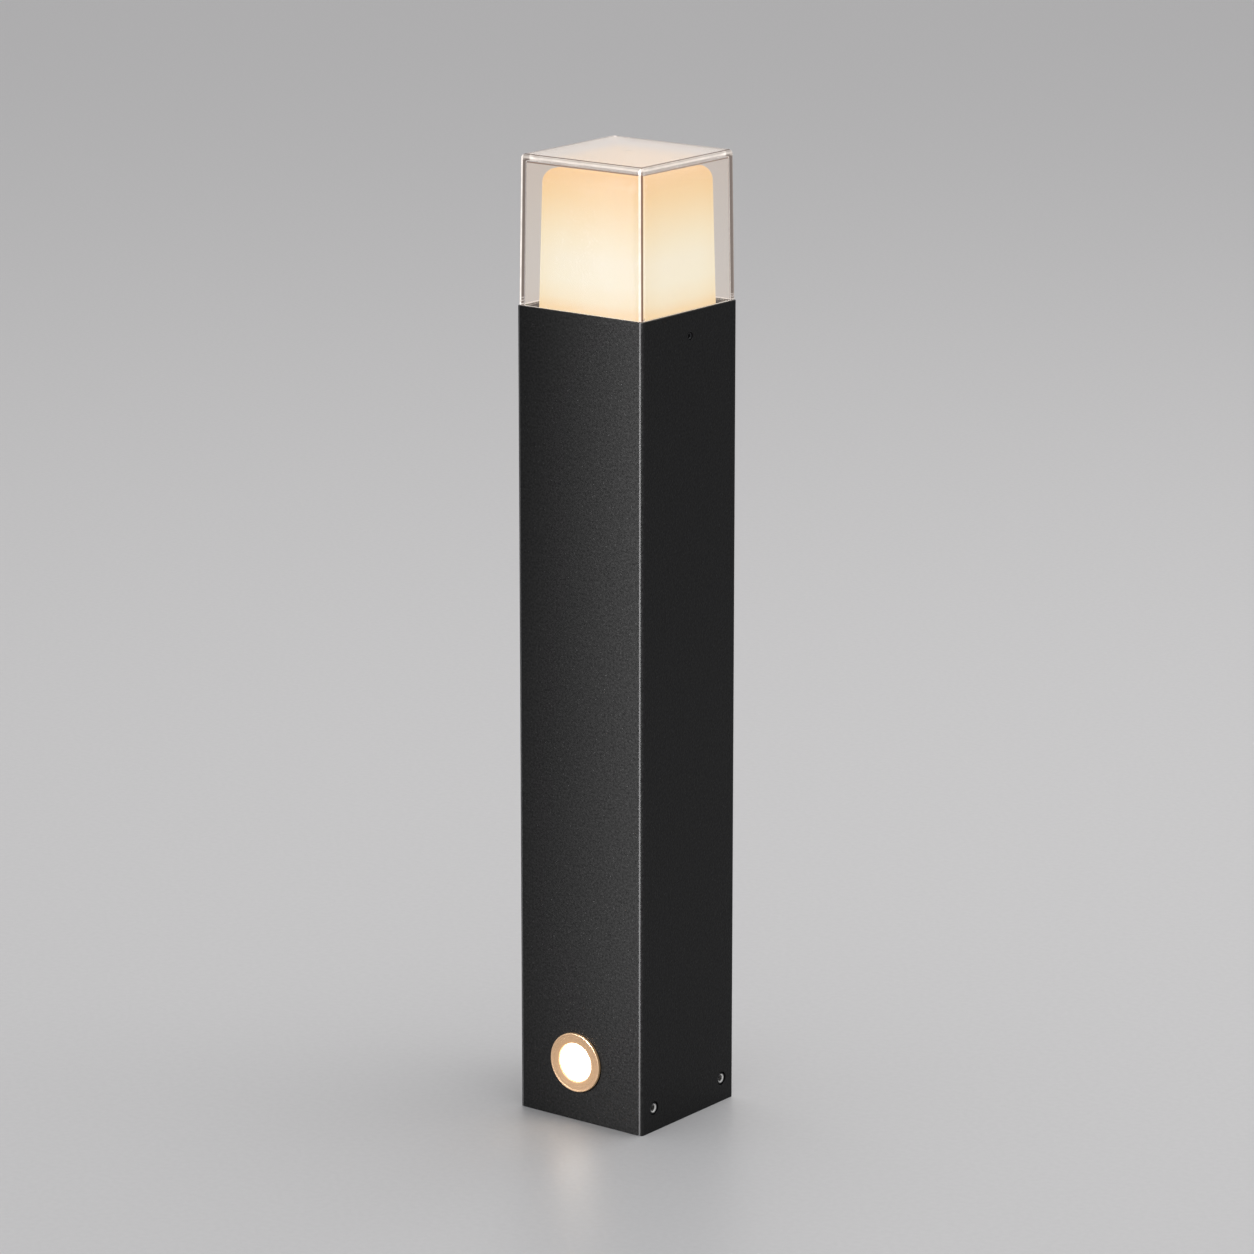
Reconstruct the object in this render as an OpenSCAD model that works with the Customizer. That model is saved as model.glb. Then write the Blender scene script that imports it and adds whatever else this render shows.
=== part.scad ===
// Square garden bollard light, in millimetres.
// The origin is on the ground at the centre of the post, with +Z up.
// The marker light faces -Y, and the set screws are in the +X and -X faces.

/* [Post] */
// Width of the square post
post_w = 95; // [90:1:140]
// Height of the post above the ground
post_h = 508; // [400:1:900]
// Wall thickness of the post
post_wall = 3; // [2.5:0.1:4]
// Outside radius of the post's upright edges
post_edge_r = 2.5; // [1:0.1:6]

/* [Foot] */
// Thickness of the bent foot plate
foot_t = 3; // [2:0.5:5]
// Height of the foot's upright flanges
flange_h = 40; // [30:1:60]
// Distance between anchor holes across the post
anchor_x = 50; // [40:1:56]
// Distance between anchor holes from front to back
anchor_y = 56; // [40:1:66]
// Diameter of an anchor hole
anchor_d = 6.5; // [5:0.1:9]
// Diameter of the hole for the grommet
cable_hole_d = 18; // [14:0.5:24]
// Diameter of the hole through the grommet
cable_d = 9; // [6:0.5:12]

/* [Base screws] */
// Height of the base set screws
base_screw_z = 15; // [12:1:22]
// Distance between the two base set screws of one face
base_screw_gap = 70; // [40:1:74]
// Diameter of a base set screw
base_screw_d = 8; // [5:0.5:8]
// Diameter of the hole in the post for a base set screw
base_hole_d = 8.6; // [8.2:0.1:10]
// Length of a clinch nut inside the post
nut_len = 4; // [3:0.5:6]

/* [Marker light] */
// Height of the marker light
marker_z = 38; // [32:1:60]
// Sideways place of the marker light
marker_x = -3; // [-10:0.5:10]
// How far the bezel ring reaches beyond its barrel
bezel_reach = 4.2; // [3:0.1:6]
// Thickness of the bezel ring
bezel_t = 2; // [1.5:0.1:3]
// Outside diameter of the barrel behind the bezel
barrel_d = 29.2; // [24:0.1:36]
// Length of the barrel behind the post's face
barrel_len = 18; // [14:1:24]
// Width of the inner lip that holds the lens in the bezel
lens_lip = 1.4; // [0.8:0.1:2]

/* [Gear tray] */
// Width of the tray
tray_w = 60; // [56:1:64]
// Thickness of the tray's sheet
tray_t = 1.5; // [1:0.1:2]
// Height of the tray's lower end
tray_bottom = 95; // [80:1:130]
// Diameter of the weld studs that hold the tray
stud_d = 4; // [3:0.5:5]
// Width of the terminal block
block_w = 44; // [42:1:46]
// Height of the terminal block
block_h = 24; // [20:1:28]
// Depth of the terminal block
block_d = 18; // [16:1:22]
// Width of the LED driver
driver_w = 32; // [26:1:36]
// Height of the LED driver
driver_h = 62; // [50:1:80]
// Depth of the LED driver
driver_d = 22; // [16:1:26]
// Diameter of a single insulated wire
wire_d = 2.4; // [1.8:0.1:2.6]
// Diameter of the marker light's lead
lead_d = 3.2; // [2.4:0.1:3.6]

/* [Lamp] */
// Diameter of the bulb
bulb_d = 60; // [50:1:62]
// Overall length of the bulb
bulb_len = 108; // [100:1:116]
// Diameter of the bulb's screw cap
cap_d = 26.2; // [26:0.1:26.4]
// Height of the globe's centre above the top of the post
globe_rise = 35; // [28:1:42]
// Outside diameter of the lamp holder
holder_d = 39; // [36:1:44]

/* [Head] */
// Height of the clear cover above the post
cover_h = 92; // [88:1:150]
// Distance from the post's side to the cover's side
cover_setback = 0.5; // [0.4:0.1:1]
// How far each side of the cover leans in from bottom to top
cover_draft = 1; // [0.2:0.1:2]
// Wall thickness of the clear cover
cover_wall = 3; // [2.6:0.1:3.2]
// Thickness of the clear cover's top
cover_top = 4; // [3:0.1:5]
// Gap from the clear cover to the opal diffuser
opal_gap = 5; // [4.6:0.1:6]
// Wall thickness of the opal diffuser
opal_wall = 2.2; // [1.6:0.1:3]
// Depth of the collar inside the post
collar_depth = 38; // [30:1:42]
// Diameter of a head set screw
head_screw_d = 5; // [4:0.5:6]
// Depth of the head set screws below the top of the post
head_screw_drop = 15; // [12:1:20]

/* [Fits] */
// Gap between the collar and the post
collar_gap = 0.4; // [0.3:0.1:0.8]
// Gap between the foot plate and the post
foot_gap = 0.4; // [0.3:0.1:1]
// Gap that lets a piece seat beside another
seat_gap = 0.3; // [0.2:0.05:0.4]
// Radial gap between a screw and what it is threaded into
thread_gap = 0.05; // [0.03:0.01:0.1]

/* [Hidden] */
$fn = 64;

wall_x = post_w / 2;                       // outer face of the post
inside_x = wall_x - post_wall;             // inner face of the post
cut = 1;                                   // how far a cutter passes a surface
lap = 0.01;                                // how far a tapered cutter passes a surface

// Foot
flange_x = inside_x - nut_len - seat_gap;  // outer face of a flange, which the screws press on
foot_half_y = inside_x - foot_gap;
bend_r = 2;                                // inside radius of the bends
flange_edge_r = 8;                         // rounding of the flanges' upper corners
grommet_lip = 3;
grommet_lip_t = 2;
grommet_foot_t = 0.8;                      // the thin lip recessed under the plate
grommet_tip_wall = 1.5;                    // rubber round the cable at the grommet's tip

// Base and head screws
nut_d = base_screw_d + 4;
screw_recess = 0.6;                        // how far the screws sit below the post's face
socket_share = 0.55;                       // width of a hex socket against its screw
base_socket_depth = 3.5;
head_socket_depth = 1.4;

// Marker light, measured along its own axis, which runs into the post
seal_t = 0.4;
seal_inset = 1;
lip_t = seal_t + bezel_t;
lens_recess = 0.5;                         // how far the lens sits behind the bezel's face
barrel_wall = 0.85;
barrel_bore_r = barrel_d / 2 - barrel_wall;
bezel_r = barrel_d / 2 + bezel_reach;
lens_r = barrel_bore_r - lens_lip;         // the part of the lens that shows
marker_slack = 0.1;                        // radial gap of what slides into the barrel
lens_back_t = 1.6;
reflector_end = 6;
reflector_rim = 0.8;
led_w = 5;
led_t = 0.8;
board_t = 1.6;
heat_sink_end = barrel_len + 8;
heat_sink_rim_r = barrel_d / 2;
fin_step = 2.6;
fin_depth = 2.5;
first_fin = 1.4;
ring_nut_t = 4.5;
ring_nut_w = 5;
spanner_notch_r = 2;
gland_r = 4;
gland_len = 6;
gland_tip_wall = 1;
lead_hole_r = lead_d / 2 + thread_gap;

// Lamp
contact_h = 3;
contact_r = 3;
contact_base_h = 1;
contact_base_r = 5;
holder_floor_t = 10;
holder_step = 1.5;                         // step round the holder's upper edge
holder_rise = 2;                           // how far the holder reaches past the bulb's cap
cap_len = 26;
thread_pitch = 3.6;
thread_depth = 0.4;
insulator_h = 5;
tip_h = 1.5;
tip_r = 4.5;
cap_shoulder = 3.5;                        // how far the cap narrows at its lower end
cap_skin = 1;
cap_rim = 2;                               // plain height above the cap's thread
neck_step = 0.5;                           // from the cap out to the housing
board_hole_r = 2;
bulb_skin = 1.2;
globe_z = post_h + globe_rise;
bulb_tip_z = globe_z + bulb_d / 2 - bulb_len;
bulb_cap_z = bulb_tip_z + tip_h + insulator_h;
bulb_neck_z = bulb_tip_z + cap_len;
globe_cut_z = globe_z - bulb_d * 0.22;     // where the globe meets the housing
holder_floor_z = bulb_tip_z - contact_h;
shelf_z = holder_floor_z - holder_floor_t; // upper face of the tray's shelf
holder_rim_z = bulb_neck_z + holder_rise;
shell_wall = 0.5;
shell_gap = 0.4;
shell_floor_t = 2;
shell_lip = 1.5;                           // how far the shell's floor reaches in
shell_r = cap_d / 2 + shell_gap;
holder_bore_r = shell_r + shell_wall + marker_slack;
holder_screw_x = 13;
holder_screw_d = 3;
holder_head_d = 6;
holder_head_h = 2;
holder_skin = 2;                           // ceramic left above the holder's screw holes
wire_hole_r = 8;

// Gear tray, which stands against the back wall
tray_front_y = inside_x - tray_t;
tray_lip = 8;
tray_half = tray_w / 2;
shelf_reach = 22;                          // how far the shelf passes the post's axis
tray_gusset = 45;
stud_zs = [tray_bottom + 13, (tray_bottom + shelf_z) / 2 + 35, shelf_z - 40];
stud_len = 10;
stud_hole_r = stud_d / 2 + seat_gap;
stud_nut_r = stud_d;
stud_nut_h = 3.2;
block_z = tray_bottom + 25;
block_top = block_z + block_h;
pole_pitch = 8;
pole_xs = [for (i = [-2 : 2]) i * pole_pitch];
pole_y = tray_front_y - block_d / 2;
insert_r = 2.2;
insert_inset = 2;
wire_bore_r = wire_d / 2 + thread_gap;
wire_bore_depth = 8;
terminal_screw_r = 1.6;
terminal_screw_drop = 6;                   // from the block's ends to its screws
terminal_screw_len = 6;
terminal_slot_w = 0.6;
slot_depth = 1;
notch_w = 1;                               // notches between the poles
notch_depth = 3;
driver_z = block_top + 38;
driver_top = driver_z + driver_h;
driver_y = tray_front_y - driver_d / 2;
driver_edge_r = 3;
earth_z = block_top + 26;
lug_t = 0.8;
lug_r = 4.5;
earth_head_r = 3.8;
earth_head_h = 2.4;
earth_slot_w = 0.8;
lug_barrel_r = 2.2;
lug_barrel_len = 6;
lug_barrel_y = tray_front_y - lug_barrel_r;
lug_low_z = earth_z - lug_r - lug_barrel_len;
clip_zs = [driver_top + 18, driver_top + 118];
clip_h = 7;
clip_d = 6;
clip_side = 3;                             // nylon beside the outer wires
lamp_wire_xs = [-24, -20];
lamp_wire_y = tray_front_y - clip_d / 2;

// Head
cover_half = wall_x - cover_setback;
cover_inner = cover_half - cover_wall;
cover_z = post_h + seat_gap;
cover_end = post_h + cover_h;
cover_edge_r = 3;
cover_inner_r = 1.5;
spigot_len = 5;
spigot_wall = 2.2;
spigot_inner_r = 0.8;
spigot_lap = 0.5;                          // how far the cover's hollow dips into the spigot
spigot_half = inside_x - collar_gap;
spigot_inner = spigot_half - spigot_wall;
opal_half = cover_inner - opal_gap;
opal_inner = opal_half - opal_wall;
opal_draft = 0.7;
opal_edge_r = 9;
opal_corner_r = 6;
opal_end = cover_end - cover_top - opal_gap;
bead = 0.5;                                // width of the sealant beads
bead_drop = 1;                             // the beads stop this far below the collar's floor
floor_drop = 1;                            // the collar's floor below the post's top
collar_step_z = post_h - spigot_len;       // the plate under the cover and the diffuser
collar_plate_t = 4;
collar_wall = 2.2;
ledge = 3;                                 // how far the plate reaches in under the diffuser
gasket_z = post_h - collar_depth + 6;
gasket_h = 3;
gasket_w = 1.2;

// ---- shared shapes ----

// Square outline of a given half-width with round corners
module plate_outline(half, r) {
    square([2 * (half - r), 2 * half], center = true);
    square([2 * half, 2 * (half - r)], center = true);
    for (x = [-1, 1], y = [-1, 1])
        translate([x * (half - r), y * (half - r)]) circle(r);
}

// Square tube or ring between two heights
module square_ring(outer, inner, r, z0, z1) {
    inner_r = max(r - (outer - inner), 0.4);
    translate([0, 0, z0]) linear_extrude(z1 - z0) difference() {
        plate_outline(outer, r);
        plate_outline(inner, inner_r);
    }
}

// Solid block whose sides lean in and whose upper edges are round
module leaning_block(half, draft, corner_r, edge_r, z0, z1) {
    hull() {
        translate([0, 0, z0]) linear_extrude(0.01) plate_outline(half, corner_r, $fn = 32);
        for (x = [-1, 1], y = [-1, 1])
            translate([x * (half - draft - edge_r), y * (half - draft - edge_r), z1 - edge_r])
                sphere(edge_r, $fn = 32);
    }
}

// Set screw along +X, with its flat tip at x = 0 and a hex socket in its outer end
module set_screw(d, length, socket_depth) {
    edge = d / 16;
    rotate([0, 90, 0]) difference() {
        union() {
            cylinder(d = d - 2 * thread_gap, h = length - edge);
            translate([0, 0, length - edge])
                cylinder(d1 = d - 2 * thread_gap, d2 = d - 2 * thread_gap - 2 * edge, h = edge);
        }
        translate([0, 0, length - socket_depth])
            cylinder(d = d * socket_share, h = socket_depth + cut, $fn = 6);
    }
}

// Ring turned about the marker light's axis, from t0 to t1 behind the post's face
module marker_ring(outer_r, inner_r, t0, t1) {
    at_marker() translate([0, 0, t0]) difference() {
        cylinder(r = outer_r, h = t1 - t0);
        translate([0, 0, -cut]) cylinder(r = inner_r, h = t1 - t0 + 2 * cut);
    }
}

// Puts +Z of a shape along the marker light's axis, starting at the post's front face
module at_marker() translate([marker_x, -wall_x, marker_z]) rotate([-90, 0, 0]) children();

// Places a copy at each base set screw, with +X pointing out of the post
module at_base_screws()
    for (side = [0, 180], y = [-1, 1])
        rotate(side) translate([0, y * base_screw_gap / 2, base_screw_z]) children();

// Thread outline as a list of [r, z], rounded like a pressed lamp thread
function thread_points(r, z0, z1, steps = 8) =
    let (count = floor((z1 - z0) / thread_pitch * steps))
    [for (i = [0 : count]) let (z = z0 + (z1 - z0) * i / count)
        [r - thread_depth / 2 + thread_depth / 2 * cos(360 * (z - bulb_tip_z) / thread_pitch), z]];

function unit(v) = v / norm(v);
function flip(points) = [for (i = [len(points) - 1 : -1 : 0]) points[i]];

// Smooth curve through the points of a route, which stays straight where three points are in line
function heading(p, i) = unit(p[min(i + 1, len(p) - 1)] - p[max(i - 1, 0)]);
function reach(p, i) = min(
    norm(p[i] - p[max(i - 1, 0)] + (i == 0 ? p[1] - p[0] : [0, 0, 0])),
    norm(p[min(i + 1, len(p) - 1)] - p[i] + (i == len(p) - 1 ? p[i] - p[i - 1] : [0, 0, 0])));
function route_point(a, b, out_of_a, into_b, t) =
    a + t * out_of_a + t * t * (3 * (b - a) - 2 * out_of_a - into_b)
    + t * t * t * (2 * (a - b) + out_of_a + into_b);
function smooth_route(p, steps) =
    concat([for (i = [0 : len(p) - 2], s = [0 : steps - 1])
        route_point(p[i], p[i + 1], heading(p, i) * reach(p, i),
            heading(p, i + 1) * reach(p, i + 1), s / steps)], [p[len(p) - 1]]);

// Round wire swept along a route
module wire(points, d, steps = 3, sides = 8) {
    path = smooth_route(points, steps);
    last = len(path) - 1;
    tangent = [for (i = [0 : last]) unit(path[min(i + 1, last)] - path[max(i - 1, 0)])];
    first = unit(cross(tangent[0], [0.9, 0.4, 0.1]));
    across = [for (i = 0, n = first; i <= last;
        i = i + 1, n = unit(n - tangent[min(i, last)] * (n * tangent[min(i, last)]))) n];
    rings = [for (i = [0 : last], k = [0 : sides - 1])
        path[i] + d / 2 * (cos(360 * k / sides) * across[i]
            + sin(360 * k / sides) * cross(tangent[i], across[i]))];
    walls = [for (i = [0 : last - 1], k = [0 : sides - 1])
        let (a = i * sides + k, b = i * sides + (k + 1) % sides)
        each [[a, b + sides, b], [a, a + sides, b + sides]]];
    near_end = [for (k = [0 : sides - 1]) k];
    far_end = [for (k = [sides - 1 : -1 : 0]) last * sides + k];
    polyhedron(rings, concat(walls, [near_end, far_end]));
}

// ---- foot ----

module foot_plate() color("gray") difference() {
    rotate([90, 0, 0]) linear_extrude(2 * foot_half_y, center = true) foot_profile();
    for (x = [-1, 1], y = [-1, 1])
        translate([x * anchor_x / 2, y * anchor_y / 2, -cut]) cylinder(d = anchor_d, h = foot_t + 2 * cut);
    translate([0, 0, -cut]) cylinder(d = cable_hole_d, h = foot_t + 2 * cut);
    translate([0, 0, -cut]) cylinder(r = cable_hole_d / 2 + grommet_lip, h = grommet_foot_t + cut);
    for (y = [-1, 1]) flange_corner_cut(y);
}

// Channel section: a flat base with two flanges and round bends
module foot_profile() difference() {
    union() {
        translate([-flange_x + bend_r + foot_t, 0]) square([2 * (flange_x - bend_r - foot_t), foot_t]);
        for (x = [-1, 1]) {
            translate([x * (flange_x - foot_t / 2), (flange_h + bend_r + foot_t) / 2])
                square([foot_t, flange_h - bend_r - foot_t], center = true);
            translate([x * (flange_x - bend_r - foot_t), bend_r + foot_t]) intersection() {
                circle(bend_r + foot_t);
                translate([x > 0 ? 0 : -bend_r - foot_t, -bend_r - foot_t]) square(bend_r + foot_t);
            }
        }
    }
    for (x = [-1, 1]) translate([x * (flange_x - bend_r - foot_t), bend_r + foot_t]) circle(bend_r);
}

// Rounds one upper corner of both flanges
module flange_corner_cut(y)
    translate([0, y * (foot_half_y - flange_edge_r), flange_h - flange_edge_r]) rotate([0, 90, 0])
        difference() {
            translate([-flange_edge_r - cut, y > 0 ? 0 : -flange_edge_r - cut, -post_w / 2])
                cube([flange_edge_r + cut, flange_edge_r + cut, post_w]);
            translate([0, 0, -post_w]) cylinder(r = flange_edge_r, h = 2 * post_w);
        }

module cable_grommet() color("dimgray") difference() {
    union() {
        cylinder(r = cable_hole_d / 2 + grommet_lip - seat_gap, h = grommet_foot_t);
        cylinder(r = cable_hole_d / 2 - marker_slack, h = foot_t + grommet_lip_t);
        translate([0, 0, foot_t]) cylinder(r = cable_hole_d / 2 + grommet_lip, h = grommet_lip_t);
        translate([0, 0, foot_t + grommet_lip_t])
            cylinder(r1 = cable_hole_d / 2, r2 = cable_d / 2 + grommet_tip_wall, h = grommet_lip);
    }
    translate([0, 0, -cut]) cylinder(d = cable_d, h = foot_t + grommet_lip_t + grommet_lip + 2 * cut);
}

// ---- post ----

module post() color("#2b2b2c") difference() {
    square_ring(wall_x, inside_x, post_edge_r, 0, post_h);
    at_marker() translate([0, 0, -cut]) cylinder(r = barrel_d / 2 + marker_slack, h = post_wall + 2 * cut);
    at_base_screws() translate([inside_x - cut, 0, 0]) rotate([0, 90, 0])
        cylinder(d = base_hole_d, h = post_wall + 2 * cut);
    for (side = [0, 180]) rotate(side) translate([inside_x - cut, 0, post_h - head_screw_drop])
        rotate([0, 90, 0]) cylinder(d = head_screw_d, h = post_wall + 2 * cut);
}

module base_nuts() color("silver") at_base_screws()
    translate([inside_x - nut_len, 0, 0]) rotate([0, 90, 0]) difference() {
        cylinder(d = nut_d, h = nut_len);
        translate([0, 0, -cut]) cylinder(d = base_screw_d, h = nut_len + 2 * cut);
    }

module base_set_screws() color("silver") at_base_screws()
    translate([flange_x, 0, 0])
        set_screw(base_screw_d, wall_x - screw_recess - flange_x, base_socket_depth);

module head_set_screws() color("silver")
    for (side = [0, 180]) rotate(side) translate([spigot_half, 0, post_h - head_screw_drop])
        set_screw(head_screw_d, wall_x - screw_recess - spigot_half, head_socket_depth);

// ---- marker light ----

module marker_bezel() color("tan") {
    at_marker() translate([0, 0, -lip_t]) difference() {
        rotate_extrude() bezel_profile();
        translate([0, 0, -cut]) cylinder(r = lens_r, h = lip_t + 2 * cut);
        translate([0, 0, lip_t]) cylinder(r = barrel_bore_r, h = barrel_len + cut);
    }
}

// Half section of the bezel and its barrel, with a rounded front edge
module bezel_profile() {
    edge_r = bezel_t / 2;
    translate([0, edge_r]) square([bezel_r, bezel_t - edge_r]);
    square([bezel_r - edge_r, bezel_t]);
    translate([bezel_r - edge_r, edge_r]) circle(edge_r);
    square([barrel_d / 2, lip_t + barrel_len]);
}

module marker_seal() color("dimgray")
    marker_ring(bezel_r - seal_inset, barrel_d / 2 + marker_slack, -seal_t, 0);

module marker_lens() color("ivory") at_marker() {
    translate([0, 0, lens_recess - lip_t]) cylinder(r = lens_r - marker_slack, h = lip_t - lens_recess);
    cylinder(r = barrel_bore_r - marker_slack, h = lens_back_t);
}

module marker_reflector() color("white") at_marker() difference() {
    translate([0, 0, lens_back_t])
        cylinder(r = barrel_bore_r - marker_slack, h = reflector_end - lens_back_t);
    translate([0, 0, lens_back_t - lap])
        cylinder(r1 = barrel_bore_r - reflector_rim, r2 = led_w, h = reflector_end - lens_back_t + 2 * lap);
}

module marker_led() color("khaki") at_marker()
    translate([-led_w / 2, -led_w / 2, reflector_end - led_t]) cube([led_w, led_w, led_t]);

module marker_board() color("white")
    at_marker() translate([0, 0, reflector_end]) cylinder(r = barrel_bore_r - marker_slack, h = board_t);

module marker_heat_sink() color("silver") at_marker() difference() {
    union() {
        translate([0, 0, reflector_end + board_t])
            cylinder(r = barrel_bore_r - marker_slack, h = barrel_len - reflector_end - board_t);
        translate([0, 0, barrel_len]) cylinder(r = heat_sink_rim_r, h = heat_sink_end - barrel_len);
    }
    for (t = [barrel_len + first_fin : fin_step : heat_sink_end - fin_step]) translate([0, 0, t]) difference() {
        cylinder(r = heat_sink_rim_r + cut, h = fin_step / 2);
        translate([0, 0, -cut]) cylinder(r = heat_sink_rim_r - fin_depth, h = fin_step + cut);
    }
    translate([0, 0, reflector_end]) cylinder(r = lead_hole_r, h = heat_sink_end);
}

module marker_ring_nut() color("silver") {
    nut_r = barrel_d / 2 + ring_nut_w;
    difference() {
        marker_ring(nut_r, barrel_d / 2 + marker_slack, post_wall, post_wall + ring_nut_t);
        at_marker() for (a = [0 : 60 : 300]) rotate(a) translate([nut_r, 0, 0])
            cylinder(r = spanner_notch_r, h = post_wall + ring_nut_t + cut);
    }
}

module marker_gland() color("dimgray") at_marker() translate([0, 0, heat_sink_end]) difference() {
    union() {
        cylinder(r = gland_r, h = gland_len / 2);
        translate([0, 0, gland_len / 2])
            cylinder(r1 = gland_r, r2 = lead_d / 2 + gland_tip_wall, h = gland_len / 2);
    }
    translate([0, 0, -cut]) cylinder(r = lead_hole_r, h = gland_len + 2 * cut);
}

gland_y = -wall_x + heat_sink_end + gland_len;
marker_route = [
    [marker_x, gland_y - gland_len + 1, marker_z],
    [marker_x, gland_y, marker_z],
    [marker_x, gland_y + 3, marker_z],
    [-1, -8, 40],
    [4, -2, 44],
    [16, 12, 62],
    [24, 28, 86],
    [25.5, 36, 112],
    [25.5, 37.5, 160],
    [25.5, 37.5, 200],
    [25.5, 36, driver_top],
    [22, driver_y + 2, driver_top + 14],
    [12, driver_y, driver_top + 15],
    [8, driver_y, driver_top + 8],
    [8, driver_y, driver_top + 4],
    [8, driver_y, driver_top]
];
module marker_lead() color("black") wire(marker_route, lead_d);

// ---- gear tray ----

module gear_tray() color("lightgray") difference() {
    union() {
        translate([-tray_half, tray_front_y, tray_bottom]) cube([tray_w, tray_t, shelf_z - tray_bottom]);
        translate([-tray_half, -shelf_reach, shelf_z - tray_t])
            cube([tray_w, inside_x + shelf_reach, tray_t]);
        for (x = [-tray_half, tray_half - tray_t]) translate([x, 0, 0]) tray_side();
    }
    for (z = stud_zs) translate([0, tray_front_y - cut, z]) rotate([-90, 0, 0])
        cylinder(r = stud_hole_r, h = tray_t + 2 * cut);
    translate([0, tray_front_y - cut, earth_z]) rotate([-90, 0, 0])
        cylinder(d = stud_d, h = tray_t + 2 * cut);
    translate([0, 0, shelf_z - tray_t - cut]) cylinder(r = wire_hole_r, h = tray_t + 2 * cut);
    for (x = [-1, 1]) translate([x * holder_screw_x, 0, shelf_z - tray_t - cut])
        cylinder(r = holder_screw_d / 2 + marker_slack, h = tray_t + 2 * cut);
}

// Side lip of the tray, with the gusset that stiffens the shelf
module tray_side() rotate([90, 0, 90]) linear_extrude(tray_t) polygon([
    [inside_x, tray_bottom],
    [tray_front_y - tray_lip, tray_bottom],
    [tray_front_y - tray_lip, shelf_z - tray_gusset],
    [-shelf_reach, shelf_z - tray_lip],
    [-shelf_reach, shelf_z],
    [inside_x, shelf_z]
]);

module tray_studs() color("silver") for (z = stud_zs)
    translate([0, inside_x - stud_len, z]) rotate([-90, 0, 0]) cylinder(d = stud_d, h = stud_len);

module tray_nuts() color("silver") for (z = stud_zs)
    translate([0, tray_front_y - stud_nut_h, z]) rotate([-90, 0, 0]) difference() {
        cylinder(r = stud_nut_r, h = stud_nut_h, $fn = 6);
        translate([0, 0, -cut]) cylinder(r = stud_d / 2 + thread_gap, h = stud_nut_h + 2 * cut);
    }

module terminal_block() color("ivory") difference() {
    translate([-block_w / 2, tray_front_y - block_d, block_z]) cube([block_w, block_d, block_h]);
    for (x = pole_xs) {
        translate([x, pole_y, block_z - cut]) cylinder(r = insert_r + marker_slack, h = block_h + 2 * cut);
        for (z = [block_z + terminal_screw_drop, block_top - terminal_screw_drop])
            translate([x, pole_y, z]) rotate([90, 0, 0])
                cylinder(r = terminal_screw_r + marker_slack, h = block_d);
    }
    for (i = [-1.5 : 1 : 1.5])
        translate([i * pole_pitch - notch_w / 2, tray_front_y - block_d - cut, block_z - cut])
            cube([notch_w, notch_depth + cut, block_h + 2 * cut]);
}

module terminal_inserts() color("gold") for (x = pole_xs)
    translate([x, pole_y, block_z + insert_inset]) difference() {
        cylinder(r = insert_r, h = block_h - 2 * insert_inset);
        for (z = [-cut, block_h - 2 * insert_inset - wire_bore_depth])
            translate([0, 0, z]) cylinder(r = wire_bore_r, h = wire_bore_depth + cut);
        for (z = [terminal_screw_drop, block_h - terminal_screw_drop])
            translate([0, 0, z - insert_inset]) rotate([90, 0, 0])
                cylinder(r = terminal_screw_r + thread_gap, h = insert_r + cut);
    }

module terminal_screws() color("silver")
    for (x = pole_xs, z = [block_z + terminal_screw_drop, block_top - terminal_screw_drop])
        translate([x, pole_y - wire_d / 2 - thread_gap, z]) rotate([90, 0, 0]) difference() {
            cylinder(r = terminal_screw_r, h = terminal_screw_len);
            translate([-terminal_screw_r - cut, -terminal_slot_w / 2, terminal_screw_len - slot_depth])
                cube([2 * (terminal_screw_r + cut), terminal_slot_w, slot_depth + cut]);
        }

module led_driver() color("white") translate([0, driver_y, driver_z]) linear_extrude(driver_h) {
    square([driver_w - 2 * driver_edge_r, driver_d], center = true);
    translate([0, driver_edge_r / 2]) square([driver_w, driver_d - driver_edge_r], center = true);
    for (x = [-1, 1]) translate([x * (driver_w / 2 - driver_edge_r), -driver_d / 2 + driver_edge_r])
        circle(driver_edge_r);
}

wire_start_z = block_top - insert_inset - wire_bore_depth + seat_gap;
driver_routes = [for (i = [0, 1]) let (x = pole_xs[3 + i]) [
    [x, pole_y, wire_start_z],
    [x, pole_y, block_top],
    [x, pole_y, block_top + 3],
    [x - 1, pole_y - 3, block_top + 14],
    [x - 5, driver_y - 2, driver_z - 12],
    [x - 5, driver_y, driver_z - 5],
    [x - 5, driver_y, driver_z - 3],
    [x - 5, driver_y, driver_z]
]];
module driver_wires() color("brown") for (route = driver_routes) wire(route, wire_d);

module earth_screw() color("silver") translate([0, tray_front_y - lug_t, earth_z]) rotate([-90, 0, 0])
    difference() {
        union() {
            translate([0, 0, -earth_head_h]) cylinder(r = earth_head_r, h = earth_head_h);
            cylinder(r = stud_d / 2 - thread_gap, h = lug_t + tray_t);
        }
        translate([-earth_head_r - cut, -earth_slot_w / 2, -earth_head_h - cut])
            cube([2 * (earth_head_r + cut), earth_slot_w, slot_depth + cut]);
    }

module earth_lug() color("silver") difference() {
    union() {
        translate([0, tray_front_y - lug_t, earth_z]) rotate([-90, 0, 0]) cylinder(r = lug_r, h = lug_t);
        translate([-lug_barrel_r, tray_front_y - lug_t, lug_low_z])
            cube([2 * lug_barrel_r, lug_t, lug_r + lug_barrel_len]);
        translate([0, lug_barrel_y, lug_low_z])
            cylinder(r = lug_barrel_r, h = lug_barrel_len);
    }
    translate([0, tray_front_y - lug_t - cut, earth_z]) rotate([-90, 0, 0])
        cylinder(d = stud_d, h = lug_t + 2 * cut);
    translate([0, lug_barrel_y, lug_low_z - cut])
        cylinder(r = wire_bore_r, h = lug_barrel_len);
}

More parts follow.
